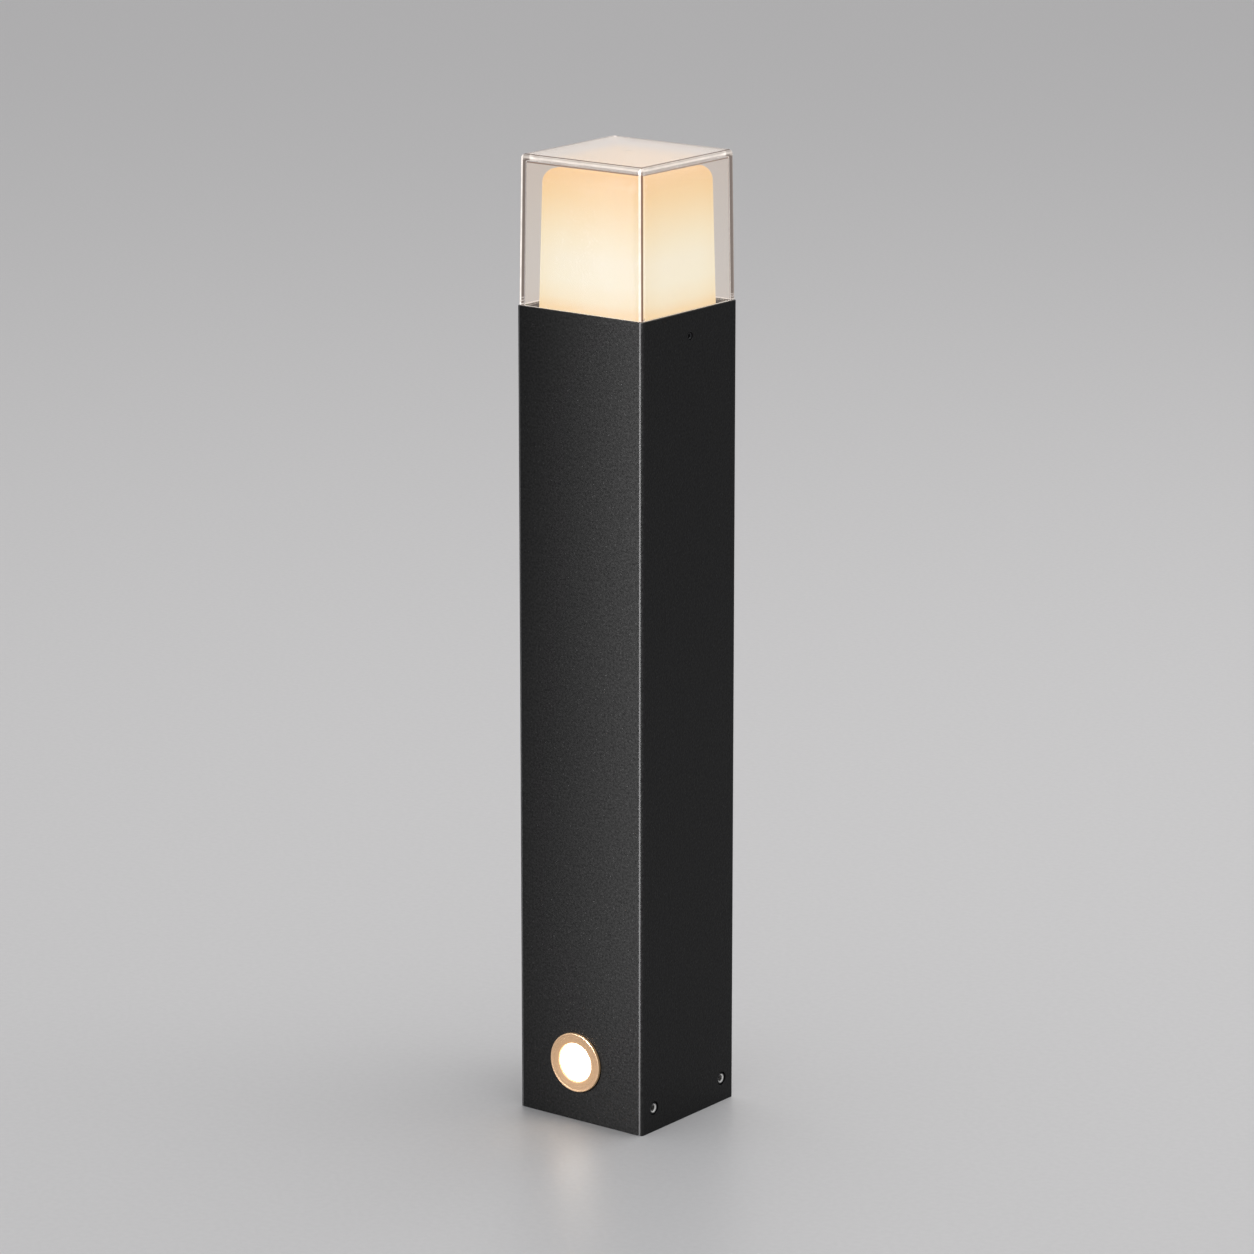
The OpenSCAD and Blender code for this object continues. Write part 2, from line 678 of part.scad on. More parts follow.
earth_route = [
    [0, pole_y, wire_start_z],
    [0, pole_y, block_top],
    [0, pole_y, block_top + 2],
    [0, lug_barrel_y, lug_low_z - 3],
    [0, lug_barrel_y, lug_low_z - 1],
    [0, lug_barrel_y, lug_low_z + lug_barrel_len - cut - seat_gap]
];
module earth_wire() color("yellowgreen") wire(earth_route, wire_d);

module wire_clips() color("ivory") for (z = clip_zs) difference() {
    translate([lamp_wire_xs[0] - clip_side, tray_front_y - clip_d, z])
        cube([lamp_wire_xs[1] - lamp_wire_xs[0] + 2 * clip_side, clip_d, clip_h]);
    for (x = lamp_wire_xs) translate([x, lamp_wire_y, z - cut])
        cylinder(r = wire_d / 2 + marker_slack, h = clip_h + 2 * cut);
}

// ---- lamp holder ----

module holder_body() color("white") difference() {
    translate([0, 0, shelf_z]) rotate_extrude() {
        square([holder_d / 2, holder_rim_z - shelf_z - holder_step]);
        square([holder_d / 2 - holder_step, holder_rim_z - shelf_z]);
    }
    translate([0, 0, holder_floor_z]) cylinder(r = holder_bore_r, h = cap_len + holder_floor_t);
    for (x = [-1, 1]) translate([x * holder_screw_x, 0, shelf_z - cut])
        cylinder(r = holder_screw_d / 2 + thread_gap, h = holder_floor_t - holder_skin);
}

module holder_shell() color("silver") {
    z0 = holder_floor_z + shell_floor_t;
    z1 = bulb_neck_z - shell_lip / 2;
    rotate_extrude() polygon(concat(
        thread_points(shell_r, z0, z1),
        [[shell_r + shell_wall, z1], [shell_r + shell_wall, z0]]
    ));
    translate([0, 0, holder_floor_z]) difference() {
        cylinder(r = shell_r + shell_wall, h = shell_floor_t);
        translate([0, 0, -cut]) cylinder(r = shell_r - shell_lip, h = shell_floor_t + 2 * cut);
    }
}

module holder_contact() color("gold") translate([0, 0, holder_floor_z]) {
    cylinder(r = contact_base_r, h = contact_base_h);
    cylinder(r = contact_r, h = contact_h);
}

module holder_screws() color("silver") for (x = [-1, 1]) translate([x * holder_screw_x, 0, 0]) {
    translate([0, 0, shelf_z - tray_t - holder_head_h]) cylinder(d = holder_head_d, h = holder_head_h);
    translate([0, 0, shelf_z - tray_t - cut])
        cylinder(d = holder_screw_d, h = cut + tray_t + holder_floor_t - holder_skin - 2 * cut);
}

lamp_routes = [for (i = [0, 1]) let (x = lamp_wire_xs[i], y = lamp_wire_y, end_x = 8 * i - 4) [
    [pole_xs[i], pole_y, wire_start_z],
    [pole_xs[i], pole_y, block_top],
    [pole_xs[i], pole_y, block_top + 3],
    [x + 2, y - 4, block_top + 20],
    [x, y, driver_z + 6],
    [x, y, clip_zs[0]],
    [x, y, clip_zs[1]],
    [x, y, clip_zs[1] + clip_h],
    [x + 2, y - 3, shelf_z - 56],
    [end_x - 8, 18, shelf_z - 34],
    [end_x, 2, shelf_z - 18],
    [end_x, 0, shelf_z - 8],
    [end_x, 0, shelf_z - 5],
    [end_x, 0, shelf_z]
]];
module lamp_wires() color("firebrick") for (route = lamp_routes) wire(route, wire_d);

// ---- bulb ----

module bulb_globe() color("white") translate([0, 0, globe_z]) difference() {
    sphere(d = bulb_d);
    sphere(d = bulb_d - 2 * bulb_skin);
    translate([0, 0, globe_cut_z - globe_z - bulb_d]) cylinder(r = bulb_d, h = bulb_d);
}

// Bell outline of the housing, at a share s of its height and a distance in from its surface
function housing_point(s, inset) =
    let (low = cap_d / 2 + neck_step, high = sqrt(pow(bulb_d / 2, 2) - pow(globe_z - globe_cut_z, 2)))
    [low - inset + (high - low) * (1 - cos(90 * s)) * (1.25 - 0.25 * s),
     bulb_neck_z + (globe_cut_z - bulb_neck_z) * s];

module bulb_housing() color("white") rotate_extrude() polygon(concat(
    [for (s = [0 : 0.1 : 1]) housing_point(s, 0)],
    [for (s = [1 : -0.1 : 0]) housing_point(s, bulb_skin)]
));

module bulb_cap() color("silver") {
    z0 = bulb_cap_z;
    z1 = bulb_neck_z;
    rotate_extrude() polygon(concat(
        [[cap_d / 2 - cap_shoulder, z0]],
        thread_points(cap_d / 2, z0 + 1.5 * cap_skin, z1 - cap_rim - cap_skin),
        [[cap_d / 2, z1 - cap_rim], [cap_d / 2, z1], [cap_d / 2 - cap_skin, z1]],
        flip(thread_points(cap_d / 2 - cap_skin, z0 + 2 * cap_skin, z1 - cap_rim - cap_skin)),
        [[cap_d / 2 - cap_shoulder - cap_skin / 2, z0 + cap_skin]]
    ));
}

module bulb_insulator() color("black") translate([0, 0, bulb_tip_z + tip_h])
    cylinder(r1 = tip_r + neck_step, r2 = cap_d / 2 - cap_shoulder, h = insulator_h);

module bulb_contact() color("silver") translate([0, 0, bulb_tip_z])
    cylinder(r1 = tip_r - 1, r2 = tip_r, h = tip_h);

module bulb_board() color("white") translate([0, 0, globe_cut_z - board_t]) difference() {
    cylinder(r = housing_point(1 - board_t / (globe_cut_z - bulb_neck_z), bulb_skin)[0] - marker_slack,
        h = board_t);
    translate([0, 0, -cut]) cylinder(r = board_hole_r, h = board_t + 2 * cut);
}

// ---- head ----

module head_collar() color("#202020") difference() {
    union() {
        square_ring(spigot_half, spigot_half - collar_wall, post_edge_r / 2,
            post_h - collar_depth, collar_step_z);
        square_ring(spigot_half, opal_inner - ledge + opal_wall, post_edge_r / 2,
            collar_step_z - collar_plate_t, collar_step_z);
        square_ring(spigot_inner - bead, opal_half + bead, post_edge_r / 2,
            collar_step_z, post_h - floor_drop);
    }
    square_ring(spigot_half + cut, spigot_half - gasket_w, post_edge_r / 2, gasket_z, gasket_z + gasket_h);
}

module collar_gasket() color("black")
    square_ring(spigot_half + collar_gap - seat_gap, spigot_half - gasket_w, post_edge_r / 2,
        gasket_z, gasket_z + gasket_h);

module clear_cover() color("lightblue", 0.4) difference() {
    union() {
        leaning_block(cover_half, cover_draft, cover_edge_r, cover_edge_r, cover_z, cover_end);
        translate([0, 0, collar_step_z]) linear_extrude(cover_z - collar_step_z + cut)
            plate_outline(spigot_half, post_edge_r / 2);
    }
    leaning_block(cover_inner, cover_draft, cover_inner_r, cover_inner_r,
        cover_z - spigot_lap, cover_end - cover_top);
    translate([0, 0, collar_step_z - cut]) linear_extrude(cover_z - collar_step_z + 2 * cut)
        plate_outline(spigot_inner, spigot_inner_r);
}

module cover_seal() color("whitesmoke")
    square_ring(spigot_inner, spigot_inner - bead, spigot_inner_r,
        collar_step_z, post_h - floor_drop - bead_drop);

module opal_diffuser() color("moccasin") difference() {
    leaning_block(opal_half, opal_draft, opal_corner_r, opal_edge_r, collar_step_z, opal_end);
    leaning_block(opal_inner, opal_draft, opal_corner_r - opal_wall, opal_edge_r - opal_wall,
        collar_step_z - cut, opal_end - opal_wall);
}

module diffuser_seal() color("whitesmoke")
    square_ring(opal_half + bead, opal_half, opal_corner_r,
        collar_step_z, post_h - floor_drop - bead_drop);

foot_plate();
cable_grommet();
post();
base_nuts();
base_set_screws();
head_set_screws();
marker_bezel();
marker_seal();
marker_lens();
marker_reflector();
marker_led();
marker_board();
marker_heat_sink();
marker_ring_nut();
marker_gland();
marker_lead();
gear_tray();
tray_studs();
tray_nuts();
terminal_block();
terminal_inserts();
terminal_screws();
led_driver();
driver_wires();
earth_screw();
earth_lug();
earth_wire();
wire_clips();
holder_body();
holder_shell();
holder_contact();
holder_screws();
lamp_wires();
bulb_globe();
bulb_housing();
bulb_cap();
bulb_insulator();
bulb_contact();
bulb_board();
head_collar();
collar_gasket();
clear_cover();
cover_seal();
opal_diffuser();
diffuser_seal();
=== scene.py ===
# Square bollard light with a glowing head: its looks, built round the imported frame.
# Everything is in metres, with the marker light facing -Y and the set screws in +X and -X.
import math

import bmesh
import bpy
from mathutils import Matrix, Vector


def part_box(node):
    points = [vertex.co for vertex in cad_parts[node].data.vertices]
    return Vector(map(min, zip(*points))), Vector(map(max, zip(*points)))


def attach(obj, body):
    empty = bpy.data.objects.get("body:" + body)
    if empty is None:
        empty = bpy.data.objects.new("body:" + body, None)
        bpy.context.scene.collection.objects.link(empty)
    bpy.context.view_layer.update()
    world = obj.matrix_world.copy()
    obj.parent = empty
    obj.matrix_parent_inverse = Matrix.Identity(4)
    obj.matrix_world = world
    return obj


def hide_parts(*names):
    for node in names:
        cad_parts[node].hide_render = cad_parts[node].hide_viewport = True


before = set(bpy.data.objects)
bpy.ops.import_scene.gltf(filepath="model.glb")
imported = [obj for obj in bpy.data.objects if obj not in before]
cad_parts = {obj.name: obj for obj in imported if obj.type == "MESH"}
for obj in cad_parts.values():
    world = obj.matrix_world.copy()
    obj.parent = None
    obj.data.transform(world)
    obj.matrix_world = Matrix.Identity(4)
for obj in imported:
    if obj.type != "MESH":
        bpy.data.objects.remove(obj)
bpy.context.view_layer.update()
up = Vector((0, 0, 1))
print("bollard: frame loaded,", len(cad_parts), "nodes")


# How the camera, the floor and the lights stand

viewSetup = {
    "lens": 149.87,  # millimetres, on a 36 mm sensor
    "azimuth": 37.31,
    "elevation": 14.29,
    "distance": 3.1955,
    "target": (-0.0001, -0.0001, 0.3062),
}

floorSetup = {
    "radius": 14.0,
    "pale": (0.66, 0.66, 0.67, 1),
    "roughness": 0.42,
    "specular": 0.35,
    "speckSize": 0.004,
}

# azimuth, elevation, distance, width, height, watts, colour, spread in degrees, sideways aim
softboxes = {
    "keySoftbox": (-6, 24, 0.60, 0.12, 0.70, 2.25, (1.0, 0.99, 0.97), 32, 0.12),
    "topSoftbox": (150, 74, 3.0, 2.6, 2.6, 48, (1.0, 0.98, 0.96), 180, 0),
    "backSoftbox": (217, 17, 7.0, 5.0, 2.6, 23, (1.0, 0.90, 0.81), 180, 0),
}

skySetup = {"colour": (0.92, 0.93, 0.95, 1), "strength": 0.50}


def towards(azimuth, elevation):
    turn, lift = math.radians(azimuth), math.radians(elevation)
    return Vector((math.sin(turn) * math.cos(lift), -math.cos(turn) * math.cos(lift), math.sin(lift)))


def linked(name, data):
    made = bpy.data.objects.new(name, data)
    bpy.context.scene.collection.objects.link(made)
    return made


def addCamera(setup):
    camera = linked("viewCamera", bpy.data.cameras.new("viewCamera"))
    back = towards(setup["azimuth"], setup["elevation"])
    camera.data.lens = setup["lens"]
    camera.data.clip_start = 0.05
    camera.location = Vector(setup["target"]) + back * setup["distance"]
    camera.rotation_mode = "QUATERNION"
    camera.rotation_quaternion = (-back).to_track_quat("-Z", "Y")
    bpy.context.scene.camera = camera


def addSoftbox(name, azimuth, elevation, distance, width, height, watts, colour, spreadAngle, aside):
    lamp = bpy.data.lights.new(name, "AREA")
    lamp.shape = "RECTANGLE"
    lamp.size, lamp.size_y = width, height
    lamp.energy, lamp.color, lamp.spread = watts, colour, math.radians(spreadAngle)
    softbox = linked(name, lamp)
    softbox.visible_camera = False
    direction = towards(azimuth, elevation)
    softbox.location = Vector(viewSetup["target"]) + direction * distance
    softbox.rotation_mode = "QUATERNION"
    aim = towards(azimuth + 90, 0) * aside - direction * distance
    softbox.rotation_quaternion = aim.to_track_quat("-Z", "Y")
    return softbox


def keepOff(softbox, piece):
    # a flag in front of the softbox: its light doesn't reach the piece
    flag = bpy.data.collections.new(softbox.name + "Flag")
    flag.objects.link(piece)
    flag.collection_objects[0].light_linking.link_state = "EXCLUDE"
    softbox.light_linking.receiver_collection = flag


def addSky(setup):
    world = bpy.data.worlds.new("paleRoom")
    world.use_nodes = True
    room = world.node_tree.nodes["Background"]
    room.inputs["Color"].default_value = setup["colour"]
    room.inputs["Strength"].default_value = setup["strength"]
    bpy.context.scene.world = world


# Small tools for finishes; every size is in metres on the piece

def feed(node, socket, value):
    # gives a node's socket a number, a colour or what another socket holds
    if isinstance(value, (int, float)):
        node.inputs[socket].default_value = value
    elif isinstance(value, tuple):
        node.inputs[socket].default_value = (*value, 1)
    else:
        node.id_data.links.new(value, node.inputs[socket])


def newFinish(name, sockets):
    finish = bpy.data.materials.new(name)
    finish.use_nodes = True
    shader = finish.node_tree.nodes["Principled BSDF"]
    for socket, value in sockets.items():
        shader.inputs[socket].default_value = value
    return finish, finish.node_tree, shader


def onPiece(tree, stretch=(1, 1, 1)):
    coords = tree.nodes.new("ShaderNodeTexCoord")
    if stretch == (1, 1, 1):
        return coords.outputs["Object"]
    mapping = tree.nodes.new("ShaderNodeMapping")
    mapping.inputs["Scale"].default_value = stretch
    feed(mapping, "Vector", coords.outputs["Object"])
    return mapping.outputs["Vector"]


def coordinates(tree, letters, source="Object"):
    # where a point lies along those axes of the piece, or with "Normal" the way its surface faces
    coords = tree.nodes.new("ShaderNodeTexCoord")
    split = tree.nodes.new("ShaderNodeSeparateXYZ")
    feed(split, "Vector", coords.outputs[source])
    return [split.outputs[letter] for letter in letters]


def unsigned(tree, letters, source="Object"):
    return [sums(tree, "ABSOLUTE", value, 0) for value in coordinates(tree, letters, source)]


def grain(tree, size, detail, stretch=(1, 1, 1)):
    noise = tree.nodes.new("ShaderNodeTexNoise")
    feed(noise, "Scale", 1 / size)
    feed(noise, "Detail", detail)
    feed(noise, "Vector", onPiece(tree, stretch))
    return noise.outputs["Fac"]


def cells(tree, size, output="Distance", feature="F1"):
    voronoi = tree.nodes.new("ShaderNodeTexVoronoi")
    voronoi.feature = feature
    feed(voronoi, "Scale", 1 / size)
    feed(voronoi, "Vector", onPiece(tree))
    return voronoi.outputs[output]


def spread(tree, factor, low, high, start=0.3, end=0.7):
    # a number from low to high as the factor goes from start to end
    mapped = tree.nodes.new("ShaderNodeMapRange")
    for socket, value in (("From Min", start), ("From Max", end), ("To Min", low), ("To Max", high)):
        feed(mapped, socket, value)
    feed(mapped, "Value", factor)
    return mapped.outputs["Result"]


def tint(tree, factor, stops):
    # colour from a list of (place, colour)
    ramp = tree.nodes.new("ShaderNodeValToRGB")
    marks = ramp.color_ramp.elements
    while len(marks) < len(stops):
        marks.new(0.5)
    for mark, (at, colour) in zip(marks, stops):
        mark.position, mark.color = at, (*colour, 1)
    feed(ramp, "Fac", factor)
    return ramp.outputs["Color"]


def blend(tree, factor, first, second, kind="MIX"):
    # a colour that goes from the first to the second
    mix = tree.nodes.new("ShaderNodeMix")
    mix.data_type, mix.blend_type = "RGBA", kind
    for place, value in ((0, factor), (6, first), (7, second)):  # 6 and 7 are the node's two colours
        feed(mix, place, value)
    return mix.outputs[2]


def sums(tree, operation, first, second):
    maths = tree.nodes.new("ShaderNodeMath")
    maths.operation = operation
    feed(maths, 0, first)
    feed(maths, 1, second)
    return maths.outputs["Value"]


def times(tree, product, *factors):
    for factor in factors:
        product = sums(tree, "MULTIPLY", product, factor)
    return product


def uprightTurn(tree):
    # how far the surface turns at an upright edge: 0 on flat sides, 1 in its middle
    return times(tree, *unsigned(tree, "XY", "Normal"), 2)


def levelTurn(tree):
    # the same at an edge between a side and the top
    x, y, z = unsigned(tree, "XYZ", "Normal")
    return times(tree, sums(tree, "MAXIMUM", x, y), z, 2)


edgeHalves = {"sideways": 0.12, "blur": 0.15}  # what the sideways half keeps, and how soft the change is


def wideSide(tree):
    # 1 on the half of an upright edge towards front or back, less on the other half
    x, y = unsigned(tree, "XY", "Normal")
    blur = edgeHalves["blur"]
    return spread(tree, sums(tree, "SUBTRACT", y, x), edgeHalves["sideways"], 1, -blur, blur)


def relief(tree, shader, height, depth, under=None):
    bump = tree.nodes.new("ShaderNodeBump")
    feed(bump, "Strength", 1.0)
    feed(bump, "Distance", depth)
    feed(bump, "Height", height)
    if under is not None:
        feed(bump, "Normal", under)
    feed(shader, "Normal", bump.outputs["Normal"])
    return bump.outputs["Normal"]


# Small tools for shapes

def pieceFrom(name, bm):
    bmesh.ops.recalc_face_normals(bm, faces=bm.faces)
    mesh = bpy.data.meshes.new(name)
    bm.to_mesh(mesh)
    bm.free()
    return linked(name, mesh)


def skin(bm, rings, closed=False):
    # walls of quads between rings with the same number of points; a ring of one point is a tip
    loops = [[bm.verts.new(point) for point in ring] for ring in rings]
    pairs = list(zip(loops, loops[1:]))
    if closed:
        pairs.append((loops[-1], loops[0]))
    for low, high in pairs:
        count = max(len(low), len(high))
        for i in range(count):
            j = (i + 1) % count
            if len(low) == 1:
                bm.faces.new((low[0], high[j], high[i]))
            elif len(high) == 1:
                bm.faces.new((low[i], low[j], high[0]))
            else:
                bm.faces.new((low[i], low[j], high[j], high[i]))


def skinned(name, rings, closed=False):
    bm = bmesh.new()
    skin(bm, rings, closed)
    return pieceFrom(name, bm)


def turned(name, profile, steps, origin=(0, 0, 0), axis=(0, 0, 1), closed=False, wave=None):
    # spins a profile of (radius, distance along the axis); wave(angle, distance) adds to the radius
    turn = up.rotation_difference(Vector(axis)).to_matrix()
    rings = []
    for radius, along in profile:
        ring = []
        for i in range(1 if radius == 0 else steps):
            angle = 2 * math.pi * i / steps
            reach = radius + (wave(angle, along) if wave and radius else 0)
            point = Vector((reach * math.cos(angle), reach * math.sin(angle), along))
            ring.append(Vector(origin) + turn @ point)
        rings.append(ring)
    return skinned(name, rings, closed)


def arc(centre, radius, start, end, steps):
    # points of a profile's round corner, from one angle to another in degrees
    angles = [math.radians(start + (end - start) * i / steps) for i in range(steps + 1)]
    return [(centre[0] + radius * math.cos(a), centre[1] + radius * math.sin(a)) for a in angles]


cornerSteps = 8  # faces round each upright corner of the post and the head


def squareRing(half, radius, z):
    ring = []
    for corner in range(4):
        middleAngle = 90 * corner - 45
        sideX = 1 if math.cos(math.radians(middleAngle)) > 0 else -1
        sideY = 1 if math.sin(math.radians(middleAngle)) > 0 else -1
        for step in range(cornerSteps + 1):
            angle = math.radians(middleAngle - 45 + 90 * step / cornerSteps)
            ring.append(Vector((sideX * (half - radius) + radius * math.cos(angle),
                                sideY * (half - radius) + radius * math.sin(angle), z)))
    return ring


def roundRing(radius, z):
    # as many points as a square ring, spread round a circle
    count = 4 * (cornerSteps + 1)
    first = -45 - 180 * cornerSteps / count
    angles = [math.radians(first + 360 * i / count) for i in range(count)]
    return [Vector((radius * math.cos(a), radius * math.sin(a), z)) for a in angles]


def smooth(piece, angle):
    piece.data.shade_smooth()
    piece.data.set_sharp_from_angle(angle=math.radians(angle))
    piece.modifiers.new("evenShading", "WEIGHTED_NORMAL").keep_sharp = True
    return piece


def soften(piece, width, segments):
    # breaks the sharp edges, as paint, moulding or tumbling does
    bevel = piece.modifiers.new("brokenEdges", "BEVEL")
    bevel.width, bevel.segments = width, segments
    bevel.limit_method, bevel.angle_limit = "ANGLE", math.radians(35)
    bevel.miter_outer = "MITER_ARC"
    bevel.use_clamp_overlap = True


def cutFrom(piece, cutter):
    # takes the cutter's shape out of the piece
    cut = piece.modifiers.new("cut", "BOOLEAN")
    cut.operation, cut.solver, cut.object = "DIFFERENCE", "EXACT", cutter
    bpy.context.view_layer.update()
    shape = bpy.data.meshes.new_from_object(piece.evaluated_get(bpy.context.evaluated_depsgraph_get()))
    piece.modifiers.remove(cut)
    piece.data = shape
    bpy.data.objects.remove(cutter)


def fit(piece, body, slotName, *nodes):
    # gives a new piece its body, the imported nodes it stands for, and a finish unless it has its own
    if not piece.data.materials:
        piece.data.materials.append(finishes[slotName])
    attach(piece, body)
    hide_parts(*nodes)


def middle(node):
    low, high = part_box(node)
    return (low + high) / 2


def halfSize(node):
    low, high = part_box(node)
    return (high - low) / 2


# Finishes

powderCoat = {
    "dark": (0.0058, 0.0058, 0.0060),
    "light": (0.0130, 0.0130, 0.0133),
    "mottleSize": 0.0014,
    "specular": 0.13,
    "roughness": (0.32, 0.48),
    "roughnessSize": 0.0016,
    "fleck": (0.055, 0.055, 0.057),
    "paintedEdgeHighlight": (0.070, 0.070, 0.072),  # painted highlight along the rounded uprights, on their front and back halves
    "highlightFrom": (0.03, 0.14),  # share of the turn round an upright
    "highlightTo": (0.66, 0.86),
    "grainSize": 0.0011,
    "peelSize": 0.0032,
    "fleckSize": 0.0011,
    "fleckEdge": (0.10, 0.24),  # share of a cell from its middle
    "clusterSize": 0.0024,
    "clusterEdge": (0.56, 0.66),
    "grainDepth": 0.00015,
    "peelDepth": 0.00004,
}


def makePowderCoat(name):
    look = powderCoat
    finish, tree, shader = newFinish(name, {"Specular IOR Level": look["specular"]})
    body = tint(tree, grain(tree, look["mottleSize"], 2), [(0.35, look["dark"]), (0.65, look["light"])])
    flecks = spread(tree, cells(tree, look["fleckSize"]), 1, 0, *look["fleckEdge"])
    rare = spread(tree, grain(tree, look["clusterSize"], 2), 0, 1, *look["clusterEdge"])
    flecked = blend(tree, times(tree, flecks, rare), body, look["fleck"])
    turn = uprightTurn(tree)
    # painted highlight: lighter colour on the front and back halves of the rounded uprights
    highlightStart, highlightEnd = spread(tree, turn, 0, 1, *look["highlightFrom"]), spread(tree, turn, 1, 0, *look["highlightTo"])
    edgeHighlight = times(tree, highlightStart, highlightEnd, wideSide(tree))
    feed(shader, "Base Color", blend(tree, edgeHighlight, flecked, look["paintedEdgeHighlight"]))
    feed(shader, "Roughness", spread(tree, grain(tree, look["roughnessSize"], 3), *look["roughness"]))
    peel = relief(tree, shader, grain(tree, look["peelSize"], 2), look["peelDepth"])
    relief(tree, shader, grain(tree, look["grainSize"], 3), look["grainDepth"], peel)
    return finish


clearAcrylic = {
    "lampShade": (0.93, 0.93, 0.92, 1),  # what the clear walls take from a lamp's light
    "body": (0.975, 0.955, 0.935),
    "paintedCornerLine": (0.12, 0.045, 0.015),  # painted shade: a fine amber line down the middle of each edge, between two bright strips of glow
    "wallLimit": 0.0445,  # between the inner and the outer faces of the walls
    "veil": (0.030, 0.024, 0.021),  # lamp light caught all over the walls
    "edgeGlow": (0.92, 0.86, 0.80),  # and piped out at the rounded edges
    "topHaze": 0.20,  # the gate side of the moulding is a little cloudy
    "insideEdge": (0.10, 0.70),  # shares of the turn round an edge, as the next three
    "line": (0.93, 0.98),
    "uprightStrip": (0.06, 0.28),
    "levelStrip": (0.20, 0.55),
    "levelLineShare": 0.35,  # level edges show the line and the strips more weakly
    "levelStripShare": 0.55,
    "streakSize": 0.006,
    "cloudSize": 0.02,
    "cloud": 0.02,
    "rippleSize": 0.016,
    "rippleDepth": 0.00002,
}


def flatShare(tree):
    # 1 on level faces, 0 on upright ones
    return spread(tree, *unsigned(tree, "Z", "Normal"), 0, 1, 0.97, 0.999)


def outerShare(tree, limit):
    # 1 where a point lies outside a square of that half width, 0 inside it
    return sums(tree, "GREATER_THAN", sums(tree, "MAXIMUM", *unsigned(tree, "XY")), limit)


def makeClearAcrylic(name):
    look = clearAcrylic
    finish, tree, shader = newFinish(name, {
        "IOR": 1.49, "Transmission Weight": 1.0, "Emission Strength": 1.0})
    upright, level = uprightTurn(tree), levelTurn(tree)
    outer = outerShare(tree, look["wallLimit"])
    uprightLine = spread(tree, upright, 0, 1, *look["line"])
    levelLine = spread(tree, level, 0, look["levelLineShare"], *look["line"])
    paintedShadeLine = sums(tree, "MAXIMUM", uprightLine, levelLine)
    turn = spread(tree, sums(tree, "MAXIMUM", upright, level), 0, 1, *look["insideEdge"])
    paintedInnerShade = times(tree, turn, sums(tree, "SUBTRACT", 1, outer))
    # painted shade: the middle of each edge and the rounded inner edges darken towards amber
    body = tint(tree, sums(tree, "MAXIMUM", paintedInnerShade, paintedShadeLine),
                [(0.0, look["body"]), (0.9, look["paintedCornerLine"])])
    feed(shader, "Base Color", body)
    uprightStrip = times(tree, spread(tree, upright, 0, 1, *look["uprightStrip"]), wideSide(tree))
    levelStrip = spread(tree, level, 0, look["levelStripShare"], *look["levelStrip"])
    strips = sums(tree, "MAXIMUM", uprightStrip, levelStrip)
    beside = sums(tree, "SUBTRACT", 1, paintedShadeLine)
    streaks = spread(tree, grain(tree, look["streakSize"], 3), 0.75, 1.0)
    edge = times(tree, strips, beside, outer, streaks)
    glow = tint(tree, edge, [(0.0, look["veil"]), (1.0, look["edgeGlow"])])
    feed(shader, "Emission Color", glow)
    haze = times(tree, flatShare(tree), look["topHaze"])
    cloud = spread(tree, grain(tree, look["cloudSize"], 4), 0.0, look["cloud"])
    feed(shader, "Roughness", sums(tree, "ADD", cloud, haze))
    relief(tree, shader, grain(tree, look["rippleSize"], 1), look["rippleDepth"])
    # lamps reach what stands behind the clear walls
    openWay = tree.nodes.new("ShaderNodeBsdfTransparent")
    openWay.inputs["Color"].default_value = look["lampShade"]
    rays = tree.nodes.new("ShaderNodeLightPath")
    either = tree.nodes.new("ShaderNodeMixShader")
    feed(either, "Fac", rays.outputs["Is Shadow Ray"])
    feed(either, 1, shader.outputs["BSDF"])
    feed(either, 2, openWay.outputs["BSDF"])
    tree.links.new(either.outputs["Shader"], tree.nodes["Material Output"].inputs["Surface"])
    return finish


# how the bulb's light shows on the opal, from the foot of the head to its top
opalGlow = {
    "stops": [
        (0.00, (0.93, 0.70, 0.40)), (0.08, (0.93, 0.80, 0.555)), (0.22, (0.93, 0.855, 0.655)),
        (0.38, (0.93, 0.85, 0.655)), (0.52, (0.93, 0.815, 0.575)), (0.68, (0.93, 0.745, 0.46)),
        (0.84, (0.93, 0.67, 0.35)), (1.00, (0.93, 0.60, 0.28)),
    ],
    "corner": (0.985, 0.95, 0.89),  # what the light loses towards the upright corners
    "cornerFrom": 0.45,  # share of the half width
    "strength": 1.0,
    "body": (0.018, 0.020, 0.030, 1),
    "wanderSize": 0.03,
    "wander": 0.002,  # how far the bands of light stray up and down
    "rippleSize": 0.012,
    "rippleDepth": 0.00002,
}


def makeOpalAcrylic(name):
    look = opalGlow
    finish, tree, shader = newFinish(name, {
        "Base Color": look["body"], "Roughness": 0.42, "Specular IOR Level": 0.04,
        "Emission Strength": look["strength"]})
    low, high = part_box("post")[1].z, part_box("opal_diffuser")[1].z
    wander = spread(tree, grain(tree, look["wanderSize"], 2), -look["wander"], look["wander"], 0, 1)
    rise = spread(tree, sums(tree, "ADD", *coordinates(tree, "Z"), wander), 0, 1, low, high)
    byHeight = tint(tree, rise, look["stops"])
    half = halfSize("opal_diffuser").x
    nearer = sums(tree, "MINIMUM", *unsigned(tree, "XY"))
    aside = spread(tree, nearer, 0, 1, half * look["cornerFrom"], half)
    loss = tint(tree, aside, [(0, (1, 1, 1)), (1, look["corner"])])
    feed(shader, "Emission Color", blend(tree, 1.0, byHeight, loss, "MULTIPLY"))
    relief(tree, shader, grain(tree, look["rippleSize"], 2), look["rippleDepth"])
    return finish


